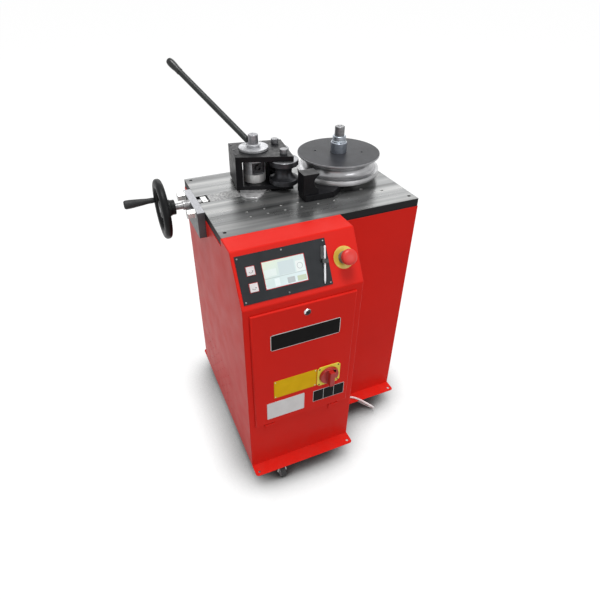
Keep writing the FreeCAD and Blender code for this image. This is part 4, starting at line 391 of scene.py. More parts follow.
sky = bpy.data.worlds.new("studio_sky")
scene.world = sky
sky.use_nodes = True
sky_tree = sky.node_tree
sky_way = sky_tree.nodes.new("ShaderNodeTexCoord")
sky_parts = sky_tree.nodes.new("ShaderNodeSeparateXYZ")
sky_light = sky_tree.nodes.new("ShaderNodeMapRange")
for socket, value in (("From Min", 0.0), ("From Max", 0.5), ("To Min", 0.8), ("To Max", 0.5)):
    sky_light.inputs[socket].default_value = value
sky_tree.links.new(sky_way.outputs["Generated"], sky_parts.inputs[0])
sky_tree.links.new(sky_parts.outputs["Z"], sky_light.inputs["Value"])
sky_path = sky_tree.nodes.new("ShaderNodeLightPath")
sky_seen = sky_light.outputs[0]
for ray in ("Is Camera Ray", "Is Glossy Ray", "Is Transmission Ray"):
    whiter = sky_tree.nodes.new("ShaderNodeMath")
    whiter.operation = "MAXIMUM"
    sky_tree.links.new(sky_seen, whiter.inputs[0])
    sky_tree.links.new(sky_path.outputs[ray], whiter.inputs[1])
    sky_seen = whiter.outputs[0]
sky_tree.links.new(sky_seen, sky_tree.nodes["Background"].inputs["Strength"])
sky_tree.nodes["Background"].inputs["Color"].default_value = (1, 1, 1, 1)


def soft_lamp(name, place, aim, width, height, power):
    """A rectangular lamp, turned to face the spot that it lights."""
    lamp = bpy.data.objects.new(name, bpy.data.lights.new(name, "AREA"))
    lamp.data.shape = "RECTANGLE"
    lamp.data.size = width
    lamp.data.size_y = height
    lamp.data.energy = power
    lamp.location = place
    way = Vector(aim) - Vector(place)
    lamp.rotation_euler = way.to_track_quat("-Z", "Y").to_euler()
    lamp.visible_camera = False
    scene.collection.objects.link(lamp)


soft_lamp("overhead_lamp", (-0.2, -0.9, 8.0), (0, 0, 0.9), 2.6, 2.6, 370)
soft_lamp("front_window", (1.1, -3.2, 2.3), (-0.1, -0.4, 0.8), 1.2, 1.2, 21)
soft_lamp("rear_window", (1.2, 3.1, 2.5), (0, 0, 1.0), 3.4, 1.5, 30)


# Casing
# Folded and welded 2 mm steel sheet: the cabinet, its service cover, the control column and the floor
# sheet with its bolting flanges, all powder-coated in one bright red.
def powder_coat(name, shade):
    """Baked powder paint: a fine orange peel, broad faint clouds, a little dust towards the floor."""
    mix = Finish(name, Specular_IOR_Level=0.06)
    cloud = mix.grain(260, detail=4)
    fresh = mix.tones(cloud, (0.25, [round(tone * 0.955) for tone in shade]), (0.75, shade))
    dust = mix.calc("MULTIPLY", mix.span(mix.reach((0, 0, 1)), 75, 320, 0.08, 0),
                    mix.span(mix.grain(35, detail=5), 0.4, 0.75))
    return mix.done(mix.over(dust, fresh, dye(150, 96, 88)), mix.span(mix.grain(70), 0.3, 0.7, 0.33, 0.41),
                    mix.relief(mix.grain(2.2, detail=1), 0.02))


def eased_copy(name, node, width, finish, chosen=None, steps=3):
    """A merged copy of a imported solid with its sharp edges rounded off. chosen is given the middles of
    the edges and their lengths, in millimetres, and says which are rounded; the others stay sharp."""
    work = bmesh.new()
    work.from_mesh(frame["nodes"][node].data)
    bmesh.ops.remove_doubles(work, verts=work.verts, dist=1e-5)
    bmesh.ops.dissolve_limit(work, angle_limit=math.radians(0.6), verts=work.verts, edges=work.edges)
    work.edges.index_update()
    ends = np.array([[edge.verts[0].co, edge.verts[1].co] for edge in work.edges], float) * 1000
    bend = np.array([edge.calc_face_angle(0) for edge in work.edges])
    mesh = bpy.data.meshes.new(name)
    work.to_mesh(mesh)
    work.free()
    middles, lengths = ends.mean(1), np.linalg.norm(ends[:, 0] - ends[:, 1], axis=1)
    sharp = bend > math.radians(28)
    picked = sharp & (chosen(middles, lengths) if chosen else True)
    mesh.shade_smooth()
    weights = mesh.attributes.new("bevel_weight_edge", "FLOAT", "EDGE")
    weights.data.foreach_set("value", picked.astype(np.float32))
    marks = mesh.attributes.get("sharp_edge") or mesh.attributes.new("sharp_edge", "BOOLEAN", "EDGE")
    marks.data.foreach_set("value", sharp & ~picked)
    mesh.materials.clear()
    mesh.materials.append(finish)
    piece = bpy.data.objects.new(name, mesh)
    scene.collection.objects.link(piece)
    rounding = piece.modifiers.new("rounding", "BEVEL")
    rounding.limit_method = "WEIGHT"
    rounding.width = width / 1000
    rounding.segments = steps
    rounding.use_clamp_overlap = False
    even = piece.modifiers.new("even_flats", "WEIGHTED_NORMAL")
    even.mode = "FACE_AREA"
    even.weight = 100
    even.keep_sharp = True
    return stands_for(piece, node)


def stands_for(piece, *nodes):
    """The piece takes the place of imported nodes, and moves with them."""
    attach(piece, frame["nodes"][nodes[0]]["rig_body"])
    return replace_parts(piece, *nodes)


def dress(piece, finish, chosen):
    """Faces that are chosen by their middles, in millimetres, take another finish."""
    mesh = piece.data
    middles = np.array([face.center[:] for face in mesh.polygons]) * 1000
    index = np.empty(len(mesh.polygons), np.int32)
    mesh.polygons.foreach_get("material_index", index)
    mesh.materials.append(finish)
    index[chosen(*middles.T)] = len(mesh.materials) - 1
    mesh.polygons.foreach_set("material_index", index)
    return piece


def painted(finish, *nodes):
    """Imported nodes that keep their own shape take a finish."""
    for node in nodes:
        frame["nodes"][node].material_slots[0].material = finish


red_paint = powder_coat("red_powder_coat", (216, 37, 28))
cabinet = eased_copy("cabinet_skin", "cabinet_shell", 3.0, red_paint,
                     lambda spots, lengths: (abs(abs(spots[:, 0]) - 352) < 1)
                     & (abs(abs(spots[:, 1]) - 238) < 1) & (lengths > 60), 4)


slope_run, slope_drop = 91.5, 151
crest_y, crest_z = -320.0, 973.0


def column_folds(spots, lengths):
    """The folds of the column: its upright corners, and both rims and both bends of the slanted face."""
    side = (abs(spots[:, 0] + 352) < 1) | (abs(spots[:, 0] - 51) < 1)
    front = abs(spots[:, 1] + 411.5) < 1
    slope = abs(spots[:, 2] - crest_z - (spots[:, 1] - crest_y) * slope_drop / slope_run) < 2
    crest = abs(spots[:, 2] - crest_z) < 1
    return (lengths > 40) & (side & (front | slope | crest) | front & slope | slope & crest)


column = eased_copy("column_skin", "column_shell", 3.5, red_paint, column_folds, 5)
base = eased_copy("floor_sheet_skin", "base_frame", 0.9, red_paint, None, 2)


def bright_zinc(name, dark=(176, 177, 176), light=(214, 214, 212)):
    """Bright zinc on pressed or turned steel: pale, faintly spangled, a little uneven in its sheen."""
    mix = Finish(name, Metallic=0.7)
    return mix.done(mix.tones(mix.grain(5, detail=4), (0.3, dark), (0.7, light)),
                    mix.span(mix.grain(2), 0.3, 0.7, 0.25, 0.4), mix.relief(mix.grain(0.6), 0.01))


zinc = bright_zinc("bright_zinc")
rear_cover = eased_copy("rear_cover_skin", "rear_cover", 0.6, red_paint)
dress(rear_cover, zinc, lambda x, y, z: y > 240.3)

# Table frame and table
# Square tube welded under the table, in primer, and the table itself: a 29 mm steel plate, ground on
# top along its length, black on its sides, with the slot for the slide and two rows of tooling holes.
frame_mix = Finish("frame_primer")
frame_finish = frame_mix.done(
    frame_mix.tones(frame_mix.grain(40, detail=5), (0.3, (70, 71, 73)), (0.7, (92, 93, 95))),
    frame_mix.span(frame_mix.grain(12), 0.3, 0.7, 0.5, 0.7), frame_mix.relief(frame_mix.grain(2), 0.05))
painted(frame_finish, "table_frame")

table_mix = Finish("ground_table", Specular_IOR_Level=0.15)
depth = table_mix.reach((0, 0, 1), 974)
bare = table_mix.span(depth, -1.1, -1.0)
# The light and dark bands along the table's length are painted reflections; the broad smudges are the steel's
# own uneven tone.
reflection_bands = table_mix.grain(44, (30, 1, 1), 1.5)
fine_reflection_bands = table_mix.grain(9, (40, 1, 1), 4.0)
smudge = table_mix.grain(90, (2.2, 1, 1), 4.0)
strokes = table_mix.grain(0.35, (160, 1, 1), 2.0)
steel_tone_with_reflection = table_mix.blend((reflection_bands, 0.64), (fine_reflection_bands, 0.22), (smudge, 0.14))
steel_colour_with_reflection = table_mix.tones(steel_tone_with_reflection, (0.38, (80, 81, 81)), (0.46, (102, 103, 103)),
                               (0.54, (120, 121, 121)), (0.63, (146, 146, 145)))
table_rough = table_mix.over(bare, (0.55,) * 4, table_mix.tones(smudge, (0.3, (130, 130, 130)),
                                                               (0.7, (165, 165, 165))))
table_mix.tree.links.new(table_mix.calc("MULTIPLY", bare, 0.75), table_mix.shader.inputs["Metallic"])
table_finish = table_mix.done(table_mix.over(bare, dye(20, 20, 22), steel_colour_with_reflection), table_rough,
                              table_mix.relief(strokes, 0.012))
table = eased_copy("table_skin", "table_plate", 0.9, table_finish, None, 2)
# The walls of the tooling holes take a pale zinc finish as a painted glint.
dress(table, bright_zinc("hole_walls_painted_glint", (206, 207, 206), (236, 236, 234)),
      lambda x, y, z: (abs(x) < 322) & (y > -230) & (y < 10) & (z < 973.9) & (z > 945.2))

# Socket screws hold the table down, sunk in their holes; six small ones hold the control plate.
slope_down = np.array([0, -slope_run, -slope_drop]) / math.hypot(slope_run, slope_drop)
slope_out = np.array([0, -slope_drop, slope_run]) / math.hypot(slope_run, slope_drop)
slope_crest = np.array([0.0, crest_y, crest_z])


def on_slope(x, down, out=0.0):
    """A place on the slanted face: across, down from its upper edge, and off the sheet."""
    return slope_crest + np.array([x, 0, 0]) + slope_down * down + slope_out * out


def socket_head(radius, height, foot, way, across, deep, sides=48):
    """A screw head with a hexagon socket: rows run up its round wall, over its rim, and down the six
    flats of the socket to its floor. A flat's distance from the axis over the cosine of the turn from
    its middle gives the hexagon."""
    aside, other, along = cross_axes(way)
    turn = np.linspace(0, 2 * np.pi, sides, endpoint=False)
    six = across / 2 / np.cos((turn + np.pi / 6) % (np.pi / 3) - np.pi / 6)
    wall = turn * 0 + 1
    rows = [(0 * wall, 0), (radius * wall, 0), (radius * wall, height - 0.5),
            ((radius - 0.15) * wall, height - 0.15), ((radius - 0.5) * wall, height), (six + 0.2, height),
            (six, height - 0.2), (six, height - deep), (0 * wall, height - deep)]
    spread = np.array([row[0] for row in rows])[..., None]
    rise = np.array([row[1] for row in rows])[:, None, None]
    return np.asarray(foot, float) + rise * along + spread * (
        np.cos(turn)[:, None] * aside + np.sin(turn)[:, None] * other)


screw_mix = Finish("blackened_screws", Metallic=1.0)
screw_finish = screw_mix.done(screw_mix.tones(screw_mix.grain(3), (0.3, (40, 40, 42)), (0.7, (76, 76, 78))),
                              screw_mix.span(screw_mix.grain(1.5), 0.3, 0.7, 0.3, 0.5))
table_screws = skin("table_screws", [socket_head(5.45, 26, (x, y, 945), (0, 0, 1), 5, 3.5)
                                     for x in (-330, 330) for y in (-208, 216)], screw_finish)
stands_for(table_screws, "fixing_screws")
plate_screws = skin("plate_screws", [socket_head(2.5, 1.5, on_slope(x, down, 2.05), slope_out, 2.2, 0.9, 36)
                                     for x in (-334.5, -198, -61.5) for down in (23.5, 152.5)],
                    bright_zinc("small_screws", (104, 106, 108), (160, 161, 162)))
stands_for(plate_screws, "fixing_screws")


# Drive under the table
# Cast gearbox, flanged motor with its fan cowl, case-hardened gears and two ball bearings.
def cast_iron(name, dark, light):
    """Sand-cast iron under one coat of paint: coarse skin, broad clouds."""
    mix = Finish(name)
    return mix.done(mix.tones(mix.grain(30, detail=5), (0.3, dark), (0.7, light)),
                    mix.span(mix.grain(6), 0.3, 0.7, 0.45, 0.65), mix.relief(mix.grain(2.4, detail=4), 0.2))


def turned_steel(name, dark, light, middle, way=(0, 0, 1), rough=(0.2, 0.36), highlight_streaks=0.3, groove=0.01,
                 pale=None, metal=1.0):
    """Steel as the lathe leaves it: fine rings that follow the turning, and a few soft streaks across them,
    painted highlights where the light would catch it. pale names two heights between which it is drawn paler,
    painted light on that band."""
    mix = Finish(name, Metallic=metal)
    rings = mix.lathe(middle, way)
    lines = mix.grain(0.8, detail=4, at=rings)
    broad = mix.grain(9, detail=3, at=rings)
    # Three soft pale streaks round the axis: painted highlights.
    highlight_fan = mix.calc("MULTIPLY", mix.calc("SINE", mix.calc("MULTIPLY", mix.turn, 3.0)), 0.5)
    cloud = mix.calc("ADD", mix.calc("MULTIPLY", highlight_fan, highlight_streaks * 0.3), mix.grain(14))
    tone = mix.blend((lines, 0.3), (broad, 0.35), (cloud, 0.35))
    colour = mix.tones(tone, (0.36, dark), (0.62, light))
    if pale:
        # Between the pale heights the colour goes towards near white: painted light.
        ground = mix.inside(mix.height, *pale)
        colour = mix.over(mix.calc("MULTIPLY", ground, 0.65), colour, dye(232, 232, 230))
    return mix.done(colour, mix.span(lines, 0.3, 0.7, *rough), mix.relief(lines, groove))


def worn_bright(name, dark, light, middle, way=(0, 0, 1), rough=(0.34, 0.46), metal=0.8, pale=None):
    """Turned steel with a finer cut, a little dulled by hands and oil."""
    return turned_steel(name, dark, light, middle, way, rough, groove=0.004, metal=metal, pale=pale)


gear_foot, pinion_foot = (183, 44, 880), (53, 44, 880)
painted(cast_iron("gearbox_iron", (72, 76, 80), (98, 102, 106)), "gearbox_housing")
painted(cast_iron("motor_iron", (60, 66, 74), (84, 90, 98)), "drive_motor")
painted(turned_steel("gear_steel", (120, 118, 112), (182, 180, 174), gear_foot), "spindle_gear")
painted(turned_steel("pinion_steel", (116, 114, 110), (178, 176, 172), pinion_foot), "pinion_shaft")
painted(turned_steel("bearing_steel", (150, 150, 150), (206, 206, 206), gear_foot), "spindle_bearings")

# Spindle, collars, die and its cover
# The spindle stands through the table; on it sit the die, a turned steel ring with a half-round groove
# for the tube, a blackened cover disc, and two turned collars.
die_foot = (183, 44, 0)
spindle_steel = worn_bright("spindle_steel", (84, 85, 87), (132, 132, 134), die_foot)
spindle = turned("spindle_skin", eased(
    [(0, 840), (25, 840), (25, 864), (30, 864), (30, 975.9), (24.9, 975.9), (24.9, 1096), (17.5, 1096),
     (17.5, 1156), (15.5, 1158), (7.6, 1158), (6.2, 1156.6), (2.6, 1156.4), (0, 1153.6)], 0.6, 4),
    die_foot, spindle_steel)
stands_for(spindle, "spindle")
collars = eased_copy("collars_skin", "spindle_collars", 0.6,
                     worn_bright("collar_steel", (108, 114, 124), (156, 162, 172), die_foot))
dress(collars, worn_bright("ring_steel", (120, 128, 136), (184, 190, 198), die_foot, rough=(0.3, 0.42)),
      lambda x, y, z: z > 1103.5)

groove_turn = np.radians(np.linspace(-97.1, 97.1, 34))
groove = np.stack([145 - 24.15 * np.cos(groove_turn), 1037.5 + 24.15 * np.sin(groove_turn)], -1)
die_profile = np.concatenate([
    [(25.2, 996)], eased([(25.2, 996), (148, 996), (148, 1013.1)], 1.2)[1:], [(147.7, 1013.4)],
    groove[1:-1], [(147.7, 1061.6), (148, 1061.9), (148, 1063.7), (147.7, 1064), (25.2, 1064), (25.2, 996)]])
die_mix = Finish("die_steel", Metallic=0.8)
die_rings = die_mix.lathe(die_foot)
die_lines = die_mix.grain(0.7, detail=4, at=die_rings)
die_broad = die_mix.grain(12, detail=2, at=die_rings)
in_groove = die_mix.inside(die_mix.height, 1013.6, 1061.4, 0.1)
die_tone = die_mix.blend((die_lines, 0.45), (die_broad, 0.35), (die_mix.grain(30), 0.2))
die_colour = die_mix.over(in_groove,
                          die_mix.tones(die_tone, (0.38, (118, 119, 120)), (0.6, (186, 186, 187))),
                          die_mix.tones(die_tone, (0.36, (112, 113, 115)), (0.6, (186, 186, 188))))
die_rough = die_mix.over(in_groove,
                         die_mix.tones(die_lines, (0.3, (150, 150, 150)), (0.7, (176, 176, 176))),
                         die_mix.tones(die_lines, (0.3, (132, 132, 132)), (0.7, (160, 160, 160))))
die = turned("die_skin", die_profile, die_foot, die_mix.done(die_colour, die_rough,
                                                            die_mix.relief(die_lines, 0.012)), sides=192)
stands_for(die, "bending_die")


def blackened(name, dark=(20, 20, 22), light=(40, 40, 43), rough=0.42, level=0.5, depth=0.02):
    """Steel blackened in hot oxide and oiled: nearly black, uneven, rubbed a little on its face."""
    mix = Finish(name, Specular_IOR_Level=level, Metallic=0.0)
    cloud = mix.blend((mix.grain(38, detail=5), 0.6), (mix.grain(2.2, (6, 1, 1), 3), 0.4))
    return mix.done(mix.tones(cloud, (0.32, dark), (0.66, light)),
                    mix.span(mix.grain(16, detail=5), 0.3, 0.7, rough - 0.08, rough + 0.1),
                    mix.relief(mix.grain(0.9, detail=3), depth))


# The cover's outer rim, from 147 mm out, is drawn pale grey; the rest is near black.
cover_mix = Finish("cover_disc", Specular_IOR_Level=0.1)
cover_rings = cover_mix.lathe(die_foot)
cover_lines = cover_mix.grain(1.2, detail=4, at=cover_rings)
cover_finish = cover_mix.done(
    cover_mix.over(cover_mix.span(cover_mix.apart, 146.9, 147.3),
                   cover_mix.tones(cover_mix.grain(50, detail=5), (0.3, (38, 39, 42)), (0.7, (50, 51, 55))),
                   dye(150, 151, 154)),
    cover_mix.span(cover_lines, 0.3, 0.7, 0.36, 0.5), cover_mix.relief(cover_lines, 0.012))
cover = eased_copy("cover_disc_skin", "die_cover", 0.7, cover_finish,
                   lambda spots, lengths: spots[:, 2] > 1066)

# Hook
# The arm turns with the die under it and carries the hook block; both are cut from plate and blackened.
black_steel = blackened("black_oxide", (10, 10, 12), (22, 22, 25), 0.4, 0.13, 0.01)
arm = eased_copy("arm_skin", "hook_arm", 1.0, black_steel, lambda spots, lengths: lengths > 1.5)
hook = eased_copy("hook_skin", "hook_block", 0.9, black_steel)

# End bracket, lead screw and handwheel
# A grey painted slab bolted to the table's left end holds the screw, and a zinc-plated block in the
# slot its neck. The screw is turned steel with a rolled thread; a set screw holds its collar.
bracket_mix = Finish("bracket_paint")
bracket_finish = bracket_mix.done(
    bracket_mix.tones(bracket_mix.grain(45, detail=5), (0.3, (70, 71, 74)), (0.7, (86, 87, 90))),
    bracket_mix.span(bracket_mix.grain(14), 0.3, 0.7, 0.32, 0.45),
    bracket_mix.relief(bracket_mix.grain(1.4), 0.04))
bracket = eased_copy("bracket_skin", "end_bracket", 1.2, bracket_finish)
# The bracket's top face is drawn paler and metallic, a painted sheen of the light from above.
dress(bracket, bright_zinc("bracket_top_painted_sheen", (122, 123, 127), (150, 151, 155)), lambda x, y, z: z > 973.4)
dress(bracket, zinc, lambda x, y, z: x > -345)
bolts = eased_copy("bolts_skin", "bracket_bolts", 0.8, zinc)
set_screw = skin("block_set_screw", socket_head(3.2, 1.2, (-326.5, 33, 973), (0, 0, 1), 3.4, 1.1, 36),
                 screw_finish)
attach(set_screw, "machine")

screw_foot = np.array([-478, 44, 964])


def thread_grid(start, end, radius, pitch, depth):
    """A threaded stretch along X: the radius falls by depth between the crests, whose place runs once
    round for each pitch along. Both ends shrink to the axis."""
    along = np.arange(start, end, pitch / 8)[:, None]
    turn = np.linspace(0, 2 * np.pi, 32, endpoint=False)[None]
    phase = (along / pitch - turn / (2 * np.pi)) % 1
    reach = radius - depth * np.clip(abs(phase - 0.5) * 3.2 - 0.3, 0, 1)
    reach[[0, -1]] = 0
    return np.stack([along + 0 * turn, screw_foot[1] + reach * np.cos(turn),
                     screw_foot[2] + reach * np.sin(turn)], -1)


shaft = turned_grid(eased([(0, 0), (11, 0), (11, 76.7), (15, 76.7), (15, 101.7), (8, 101.7), (8, 128.3),
                           (11, 128.3), (11, 141.7), (5, 141.7), (5, 143), (0, 143)], 0.7, 4),
                    screw_foot, (1, 0, 0), 64)
screw = skin("lead_screw_skin", [shaft, thread_grid(-337, -100, 6, 3, 0.9)],
             worn_bright("screw_steel", (110, 110, 111), (162, 162, 162), screw_foot, (1, 0, 0)))
stands_for(screw, "lead_screw")
collar_screw = skin("collar_set_screw", socket_head(3.4, 2, (-388.8, 44 - 13.6 * 0.6, 964 + 13.6 * 0.8),
                                                    (0, -0.6, 0.8), 3.4, 1.6, 36), screw_finish)
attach(collar_screw, "screw")

# The handwheel is moulded: a rim with an oval section, three arms that lean back to the hub, and a hub
# with a stepped collar. Its grip is a turned handle that flares to a flat end and spins on a pin.
bakelite = moulded("black_bakelite", (12, 13, 14), (22, 23, 24), 0.42, 0.02, 1.0, 0.15)
wheel_middle = np.array([-470, 44, 964])
wheel_turn = np.linspace(0, 2 * np.pi, 145)[:, None]
around = np.linspace(0, 2 * np.pi, 40, endpoint=False)[None]
rim_radius = 84 + 16 * np.sign(np.sin(around)) * abs(np.sin(around)) ** 0.85 + 0 * wheel_turn
rim_level = 13 * np.sign(np.cos(around)) * abs(np.cos(around)) ** 0.8 + 0 * wheel_turn
rim = wheel_middle + np.stack([rim_level, rim_radius * np.sin(wheel_turn),
                               rim_radius * np.cos(wheel_turn)], -1)


def arm_grid(turn):
    """One arm of the wheel: an oval, wide across and thin along the axis, carried out from the hub to
    the rim. It narrows towards its middle, and its ends shrink to points inside the hub and the rim."""
    out = np.concatenate([[16], np.linspace(16, 86, 24), [86]])[:, None]
    share = (out - 16) / 70
    half = 17 - 5 * np.sin(share * np.pi) ** 0.8
    thin = 7.0 - 1.5 * share
    size = np.where((out == out[0]) & (np.arange(26)[:, None] == 0) | (np.arange(26)[:, None] == 25), 0, 1)
    level = 16 * (1 - share) ** 1.5 - 2 + thin * np.cos(around) * size
    side = half * np.sin(around) * size
    way, across = np.array([0, np.sin(turn), np.cos(turn)]), np.array([0, np.cos(turn), -np.sin(turn)])
    return (wheel_middle + level[..., None] * np.array([1, 0, 0]) + out[..., None] * way
            + side[..., None] * across)


hub_profile = eased([(11.2, -8), (26, -8), (30, -5), (30, 8), (27.5, 20), (27.5, 27), (25, 29), (25, 42),
                     (11.2, 42)], 1.5)
hub = turned_grid(np.concatenate([hub_profile, [(11.2, -8)]]), wheel_middle, (1, 0, 0), 72)
boss = turned_grid(eased([(0, -12.9), (10, -12.9), (10, -6), (0, -6)], 0.8), wheel_middle + [0, 80, 0],
                   (1, 0, 0), 40)
wheel = skin("handwheel_skin", [rim, hub, boss, *[arm_grid(turn) for turn in np.radians([0, 120, 240])]],
             bakelite)
stands_for(wheel, "handwheel")
grip_profile = np.concatenate([
    [(0, -13.9), (3.9, -13.9), (3.9, -0.2)],
    eased([(3.9, 0), (9, 0), (9.75, 8.2), (9.3, 20.4), (12, 45.9), (15, 81.6), (15, 96.9), (11.25, 102),
           (0, 102)], [0, 0.8, 6, 8, 10, 5, 2, 1.5, 0])])
crank = turned("crank_grip_skin", grip_profile, (-483.3, 124, 964),
               moulded("grip_bakelite", (30, 31, 32), (44, 45, 46), 0.55, 0.09, 1.3, 0.35), (-1, 0, 0), 64)
stands_for(crank, "crank_grip")

# Slide, saddle and pivot pin
# The slide runs in the slot on the screw's nut, its top cut with fine cross serrations; it carries the
# saddle, a ground plate on which the yoke stands, and the upright pin that the lever turns on.
slide_mix = Finish("slide_steel", Metallic=0.8)
serration_pitch = 3.2
teeth = slide_mix.calc("SINE", slide_mix.calc("MULTIPLY", slide_mix.reach((1, 0.25, 0)),
                                              2 * math.pi / serration_pitch))
# The tone rises and falls a little with the serrations: painted light and shade on the teeth.
slide_tone_with_tooth_shade = slide_mix.blend((slide_mix.grain(7, detail=5), 0.8), (teeth, 0.07))
slide = eased_copy("slide_skin", "slide_bar", 0.6, slide_mix.done(
    slide_mix.tones(slide_tone_with_tooth_shade, (0.3, (120, 120, 121)), (0.55, (190, 190, 189))),
    slide_mix.span(slide_mix.grain(5), 0.3, 0.7, 0.28, 0.5), slide_mix.relief(teeth, 0.25)))
pivot_foot = (-119, 108, 0)
saddle = eased_copy("saddle_skin", "carriage_saddle", 0.9,
                    turned_steel("saddle_steel", (170, 170, 172), (234, 233, 233), pivot_foot,
                                 rough=(0.26, 0.38), metal=0.8))
pivot = turned("pivot_skin", eased(
    [(0, 981), (17.5, 981), (17.5, 1147.6), (15.4, 1150), (5.6, 1150), (4.8, 1149.2), (2.2, 1149),
     (0, 1147)], 0.6, 4), pivot_foot,
    worn_bright("pivot_steel", (92, 92, 97), (150, 150, 153), pivot_foot, rough=(0.32, 0.44)))
stands_for(pivot, "pivot_pin")

# Eccentric and lever
# One turned piece: the drum between the yoke's plates with a milled window, the disc on top and the
# neck; a socket screw sits in the window. The lever screws into the neck and ends in a black knob.
# The drum's band from 990 to 1024.6 mm up is drawn paler: painted light.
eccentric = eased_copy("eccentric_skin", "eccentric_shaft", 0.7,
                       worn_bright("eccentric_steel", (140, 141, 144), (200, 201, 204), pivot_foot,
                                   rough=(0.34, 0.48), metal=0.5, pale=(990, 1024.6)))
# The socket screw is blackened; the walls and floor of the milled window round it take the same black, a
# painted shade in the recess.
dress(eccentric, screw_finish, lambda x, y, z: (y < 66) & (z > 1024) & (z < 1069) & (abs(x + 122) < 24)
      & ((y > 55) | (abs(z - 1045) < 13)) & (np.hypot(x + 125, y - 89) < 39.6))
lever_oxide = blackened("lever_oxide", (26, 29, 29), (46, 50, 50), 0.44, 0.3, 0.005)
lever = eased_copy("lever_skin", "clamp_lever", 0.8, lever_oxide)
azimuth, rise = math.radians(121.7), math.radians(32)
lever_way = np.array([math.cos(azimuth) * math.cos(rise), math.sin(azimuth) * math.cos(rise),
                      math.sin(rise)])
lever_root = np.array([-119, 108, 1108])
knob_profile = np.concatenate([
    [(10.6, 380), (10.6, 379.2)],
    eased([(10.6, 379), (11.6, 379), (12.2, 383), (11.8, 394), (13.9, 414), (14, 430), (11.6, 440),
           (6, 444.4), (0, 445)], [0, 0.5, 1, 6, 7, 5, 4, 3, 0])])
knob = turned("lever_knob", knob_profile, lever_root, moulded("knob_black", (22, 24, 24), (36, 38, 38), 0.36,
                                                             0.005, 1.0, 0.4), lever_way, 64)
stands_for(knob, "lever_grip")

# Yoke and rollers
# Two plates and an upright, blackened, hold the two grooved rollers on their pins. The pins are bright
# and have a flat on the head that a bar on the roof would lock.
roller_places = {"roller_front": (-39, 25), "roller_rear": (-29, 133)}
for node in ("yoke_top_plate", "yoke_bottom_plate", "yoke_side_plates"):
    plate_skin = eased_copy(node + "_skin", node, 0.9, black_steel, lambda spots, lengths: lengths > 1.0)
    if node == "yoke_side_plates":
        dress(plate_skin, screw_finish, lambda x, y, z: z > 1099.05)
pins_skin = eased_copy("roller_pins_skin", "roller_pins", 0.8,
                       worn_bright("pin_steel", (96, 96, 99), (150, 151, 153),
                                   (*roller_places["roller_front"], 0), metal=0.7))
for node, (x, y) in roller_places.items():
    roller_mix = Finish(node + "_steel", Metallic=0.7)
    roller_rings = roller_mix.lathe((x, y, 0))
    roller_lines = roller_mix.grain(0.9, detail=4, at=roller_rings)
    roller_tone = roller_mix.blend((roller_lines, 0.5), (roller_mix.grain(22, detail=4), 0.5))
    # The roller's top face is drawn in a lighter copy of the side tones: painted light from above.
    face = roller_mix.span(roller_mix.height, 1079.0, 1079.6)
    roller = eased_copy(node + "_skin", node, 1.0, roller_mix.done(
        roller_mix.over(face, roller_mix.tones(roller_tone, (0.36, (38, 38, 41)), (0.62, (74, 75, 79))),
                        roller_mix.tones(roller_tone, (0.36, (96, 97, 100)), (0.62, (150, 151, 154)))),
        roller_mix.span(roller_lines, 0.3, 0.7, 0.3, 0.46), roller_mix.relief(roller_lines, 0.02)))


# Control plate
# A dark printed sheet on the slanted face. It frames the screen and the two keys with a thin red line
# and carries the pen's black clip; a thin black strip lies beside the pen's upper half.
def frame_line(mix, across, along, left, right, low, high, thick):
    """1 on a line of some thickness round a rectangle, 0 inside it and beyond."""
    def within(grown):
        return mix.calc("MULTIPLY", mix.inside(across, left - grown, right + grown, 0.15),
                        mix.inside(along, low - grown, high + grown, 0.15))
    return mix.calc("SUBTRACT", within(thick), within(0))


print_mix = Finish("printed_sheet", Specular_IOR_Level=0.14)
screen_left, screen_right, screen_top, screen_foot = -265, -131.5, 49, 129
key_x, key_half, key_downs = -302, 13, {"key_upper": 65, "key_lower": 114.5}
across, down = print_mix.reach((1, 0, 0)), print_mix.reach(slope_down, slope_crest @ slope_down)
red_lines = frame_line(print_mix, across, down, screen_left, screen_right, screen_top, screen_foot, 1.7)
for key_down in key_downs.values():
    red_lines = print_mix.calc("MAXIMUM", red_lines, frame_line(
        print_mix, across, down, key_x - key_half, key_x + key_half, key_down - key_half,
        key_down + key_half, 1.1))
print_colour = print_mix.tones(print_mix.grain(60), (0.3, (35, 37, 40)), (0.7, (41, 43, 46)))
control = eased_copy("control_plate_skin", "control_plate", 0.35, print_mix.done(
    print_mix.over(red_lines, print_colour, dye(196, 34, 40)),
    print_mix.span(print_mix.grain(18), 0.3, 0.7, 0.4, 0.5),
    print_mix.relief(print_mix.grain(0.5, detail=2), 0.008)))
clip_black = moulded("clip_black", (16, 16, 17), (24, 24, 26), 0.4)
dress(control, clip_black, lambda x, y, z: (np.stack([x, y, z], -1) - slope_crest) @ slope_out > 2.2)

lean = math.radians(11.2)
pen_way = math.sin(lean) * np.array([1, 0, 0]) - math.cos(lean) * slope_down
pen_side = np.cross(pen_way, slope_out)
pen_middle = on_slope(-70.7, 95.9, 6.25)
# A thin black slab lies beside the pen's upper half.
black_strip = slab("black_strip_by_pen", 13, 46, 2.5, [(0, 0), (0, 1.6), (0.5, 2.1), (1.6, 2.1)],
              pen_middle + pen_way * 34 - pen_side * 7.2 - slope_out * 4.15,
              (pen_side, pen_way, slope_out), clip_black)
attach(black_strip, "machine")
pen_length = 116
pen = turned("pen_skin", eased([(0, 0), (0.9, 0), (1.25, 1.6), (3.1, 9.6), (3.25, 13), (3.25, 96),
                                (3.05, 96.6), (3.25, 97.2), (3.25, 114), (2.4, pen_length),
                                (0, pen_length)], 0.5, 4), pen_middle - pen_way * (pen_length / 2),
             moulded("pen_white", (220, 220, 223), (230, 230, 233), 0.3, 0.005), pen_way, 48)
stands_for(pen, "touch_pen")

